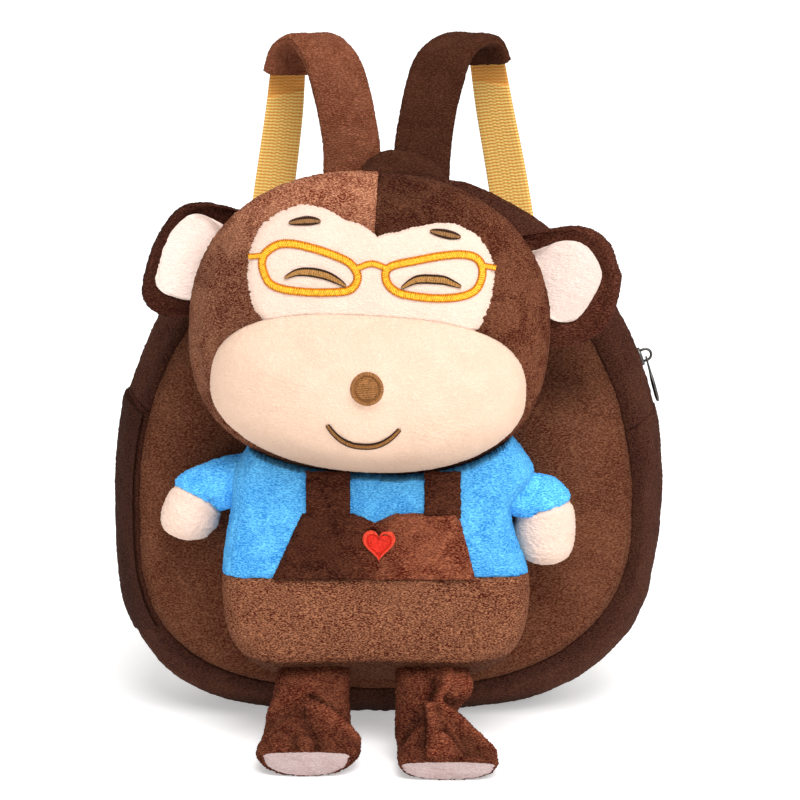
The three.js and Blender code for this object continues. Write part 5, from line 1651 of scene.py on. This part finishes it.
# %% Slider and puller
GUNMETAL, metal_tree, metal_shader = material("gunmetal", 0.3, metallic=1.0)
metal_where = put(metal_tree, "TexCoord").outputs["Object"]
worn = put(metal_tree, "TexNoise", {"Vector": metal_where, "Scale": 600.0, "Detail": 4.0}).outputs["Fac"]
metal_tone = blend(metal_tree, worn, paint(40, 38, 37), paint(112, 108, 104))
metal_tree.links.new(metal_tone, metal_shader.inputs["Base Color"])
metal_rough = put(metal_tree, "MapRange", {"Value": worn, "To Min": 0.2, "To Max": 0.45}).outputs[0]
metal_tree.links.new(metal_rough, metal_shader.inputs["Roughness"])

SLIDER_TURN = np.radians(29.3)
CROWN_HEIGHT, CROWN_RADIUS, PULLER_DROOP = 2.8, 2.6, np.radians(4.0)
slider_spot = gusset_point(SLIDER_TURN, 0.5, 0.0)
down_zip = unit(gusset_point(SLIDER_TURN - np.radians(1.0), 0.5, 0.0) - slider_spot)
off_zip = unit(np.cross(down_zip, [0.0, 1.0, 0.0]))
ZIP_AXES = np.stack([down_zip, np.cross(off_zip, down_zip), off_zip])
# place down the zip, half width, half thickness
SLIDER_ROWS = (
    (-4.1, 0.6, 0.4), (-3.8, 1.7, 0.9), (-1.5, 3.0, 1.1), (1.0, 2.7, 1.1), (3.7, 2.1, 1.0), (4.1, 1.2, 0.5),
)
PULLER_ROWS = (
    (4.0, 0.8, 0.4), (5.2, 0.8, 0.5), (8.6, 0.9, 0.6), (11.0, 2.2, 0.85), (13.6, 3.0, 0.95),
    (17.0, 3.1, 0.95), (20.5, 2.9, 0.9), (22.2, 1.6, 0.6), (22.6, 0.4, 0.25),
)


def on_zip(grid):
    """A grid that was worked out down, across and out of the zip, set on the slider's place."""
    return slider_spot + grid @ ZIP_AXES


def bar(rows, height, fullness):
    """Flat rounded sections along the zip, from rows of place, half width and half thickness."""
    row = glide(rows, np.linspace(0, 1, 60))
    zero = np.zeros(len(row))
    middle = np.column_stack([row[:, 0], zero, zero + height])
    across = np.column_stack([zero, row[:, 1], zero])
    through = np.column_stack([zero, zero, row[:, 2]])
    return capped(carry(middle, across, through, 40, fullness))


def wire(line, radius, aside):
    """Round wire along a line; aside is a direction that the line never takes."""
    heading = unit(np.gradient(line, axis=0))
    across = unit(np.cross(heading, np.asarray(aside)))
    return carry(line, across * radius, np.cross(heading, across) * radius, 16, 1.0)


bow = turns(50, 180, 0, whole=False)
bow_line = np.column_stack([CROWN_RADIUS * np.cos(bow), 0 * bow, CROWN_HEIGHT + CROWN_RADIUS * np.sin(bow)])
crown_foot = np.array([[CROWN_RADIUS, 0.0, 0.6]])
crown_line = np.vstack([crown_foot * [-1, 1, 1], bow_line, crown_foot])
crown = capped(wire(glide(crown_line, np.linspace(0, 1, 90)), 0.6, (0.0, 1.0, 0.0)))
make("zip_slider", [on_zip(bar(SLIDER_ROWS, 0.2, 0.6)), on_zip(crown)], GUNMETAL, "gunmetal")

eye = turns(60)
eye_line = np.column_stack([CROWN_RADIUS + 1.45 * np.cos(eye), 1.5 * np.sin(eye), 0 * eye])
eye_ring = wire(np.vstack([eye_line, eye_line[:3]]), 0.42, (0.0, 0.0, 1.0))[1:-1]
puller_turn = np.array([
    [np.cos(PULLER_DROOP), 0.0, -np.sin(PULLER_DROOP)], [0.0, 1.0, 0.0],
    [np.sin(PULLER_DROOP), 0.0, np.cos(PULLER_DROOP)],
])
hinge_place = np.array([0.0, 0.0, CROWN_HEIGHT])
puller_grids = [on_zip(grid @ puller_turn + hinge_place) for grid in (eye_ring, bar(PULLER_ROWS, 0.0, 0.8))]
make("zip_puller", puller_grids, GUNMETAL, "gunmetal", body="zip_pull")

# %% Paper floor
PAPER, _, paper_shader = material("white_paper", 0.8)
paper_shader.inputs["Base Color"].default_value = (0.93, 0.93, 0.93, 1.0)
# painted light: the paper glows a little and throws light up under the bag, standing in for the studio's
# light from all round
paper_shader.inputs["Emission Color"].default_value = (1.0, 1.0, 1.0, 1.0)
paper_shader.inputs["Emission Strength"].default_value = 0.38
floor_mesh.materials.append(PAPER)
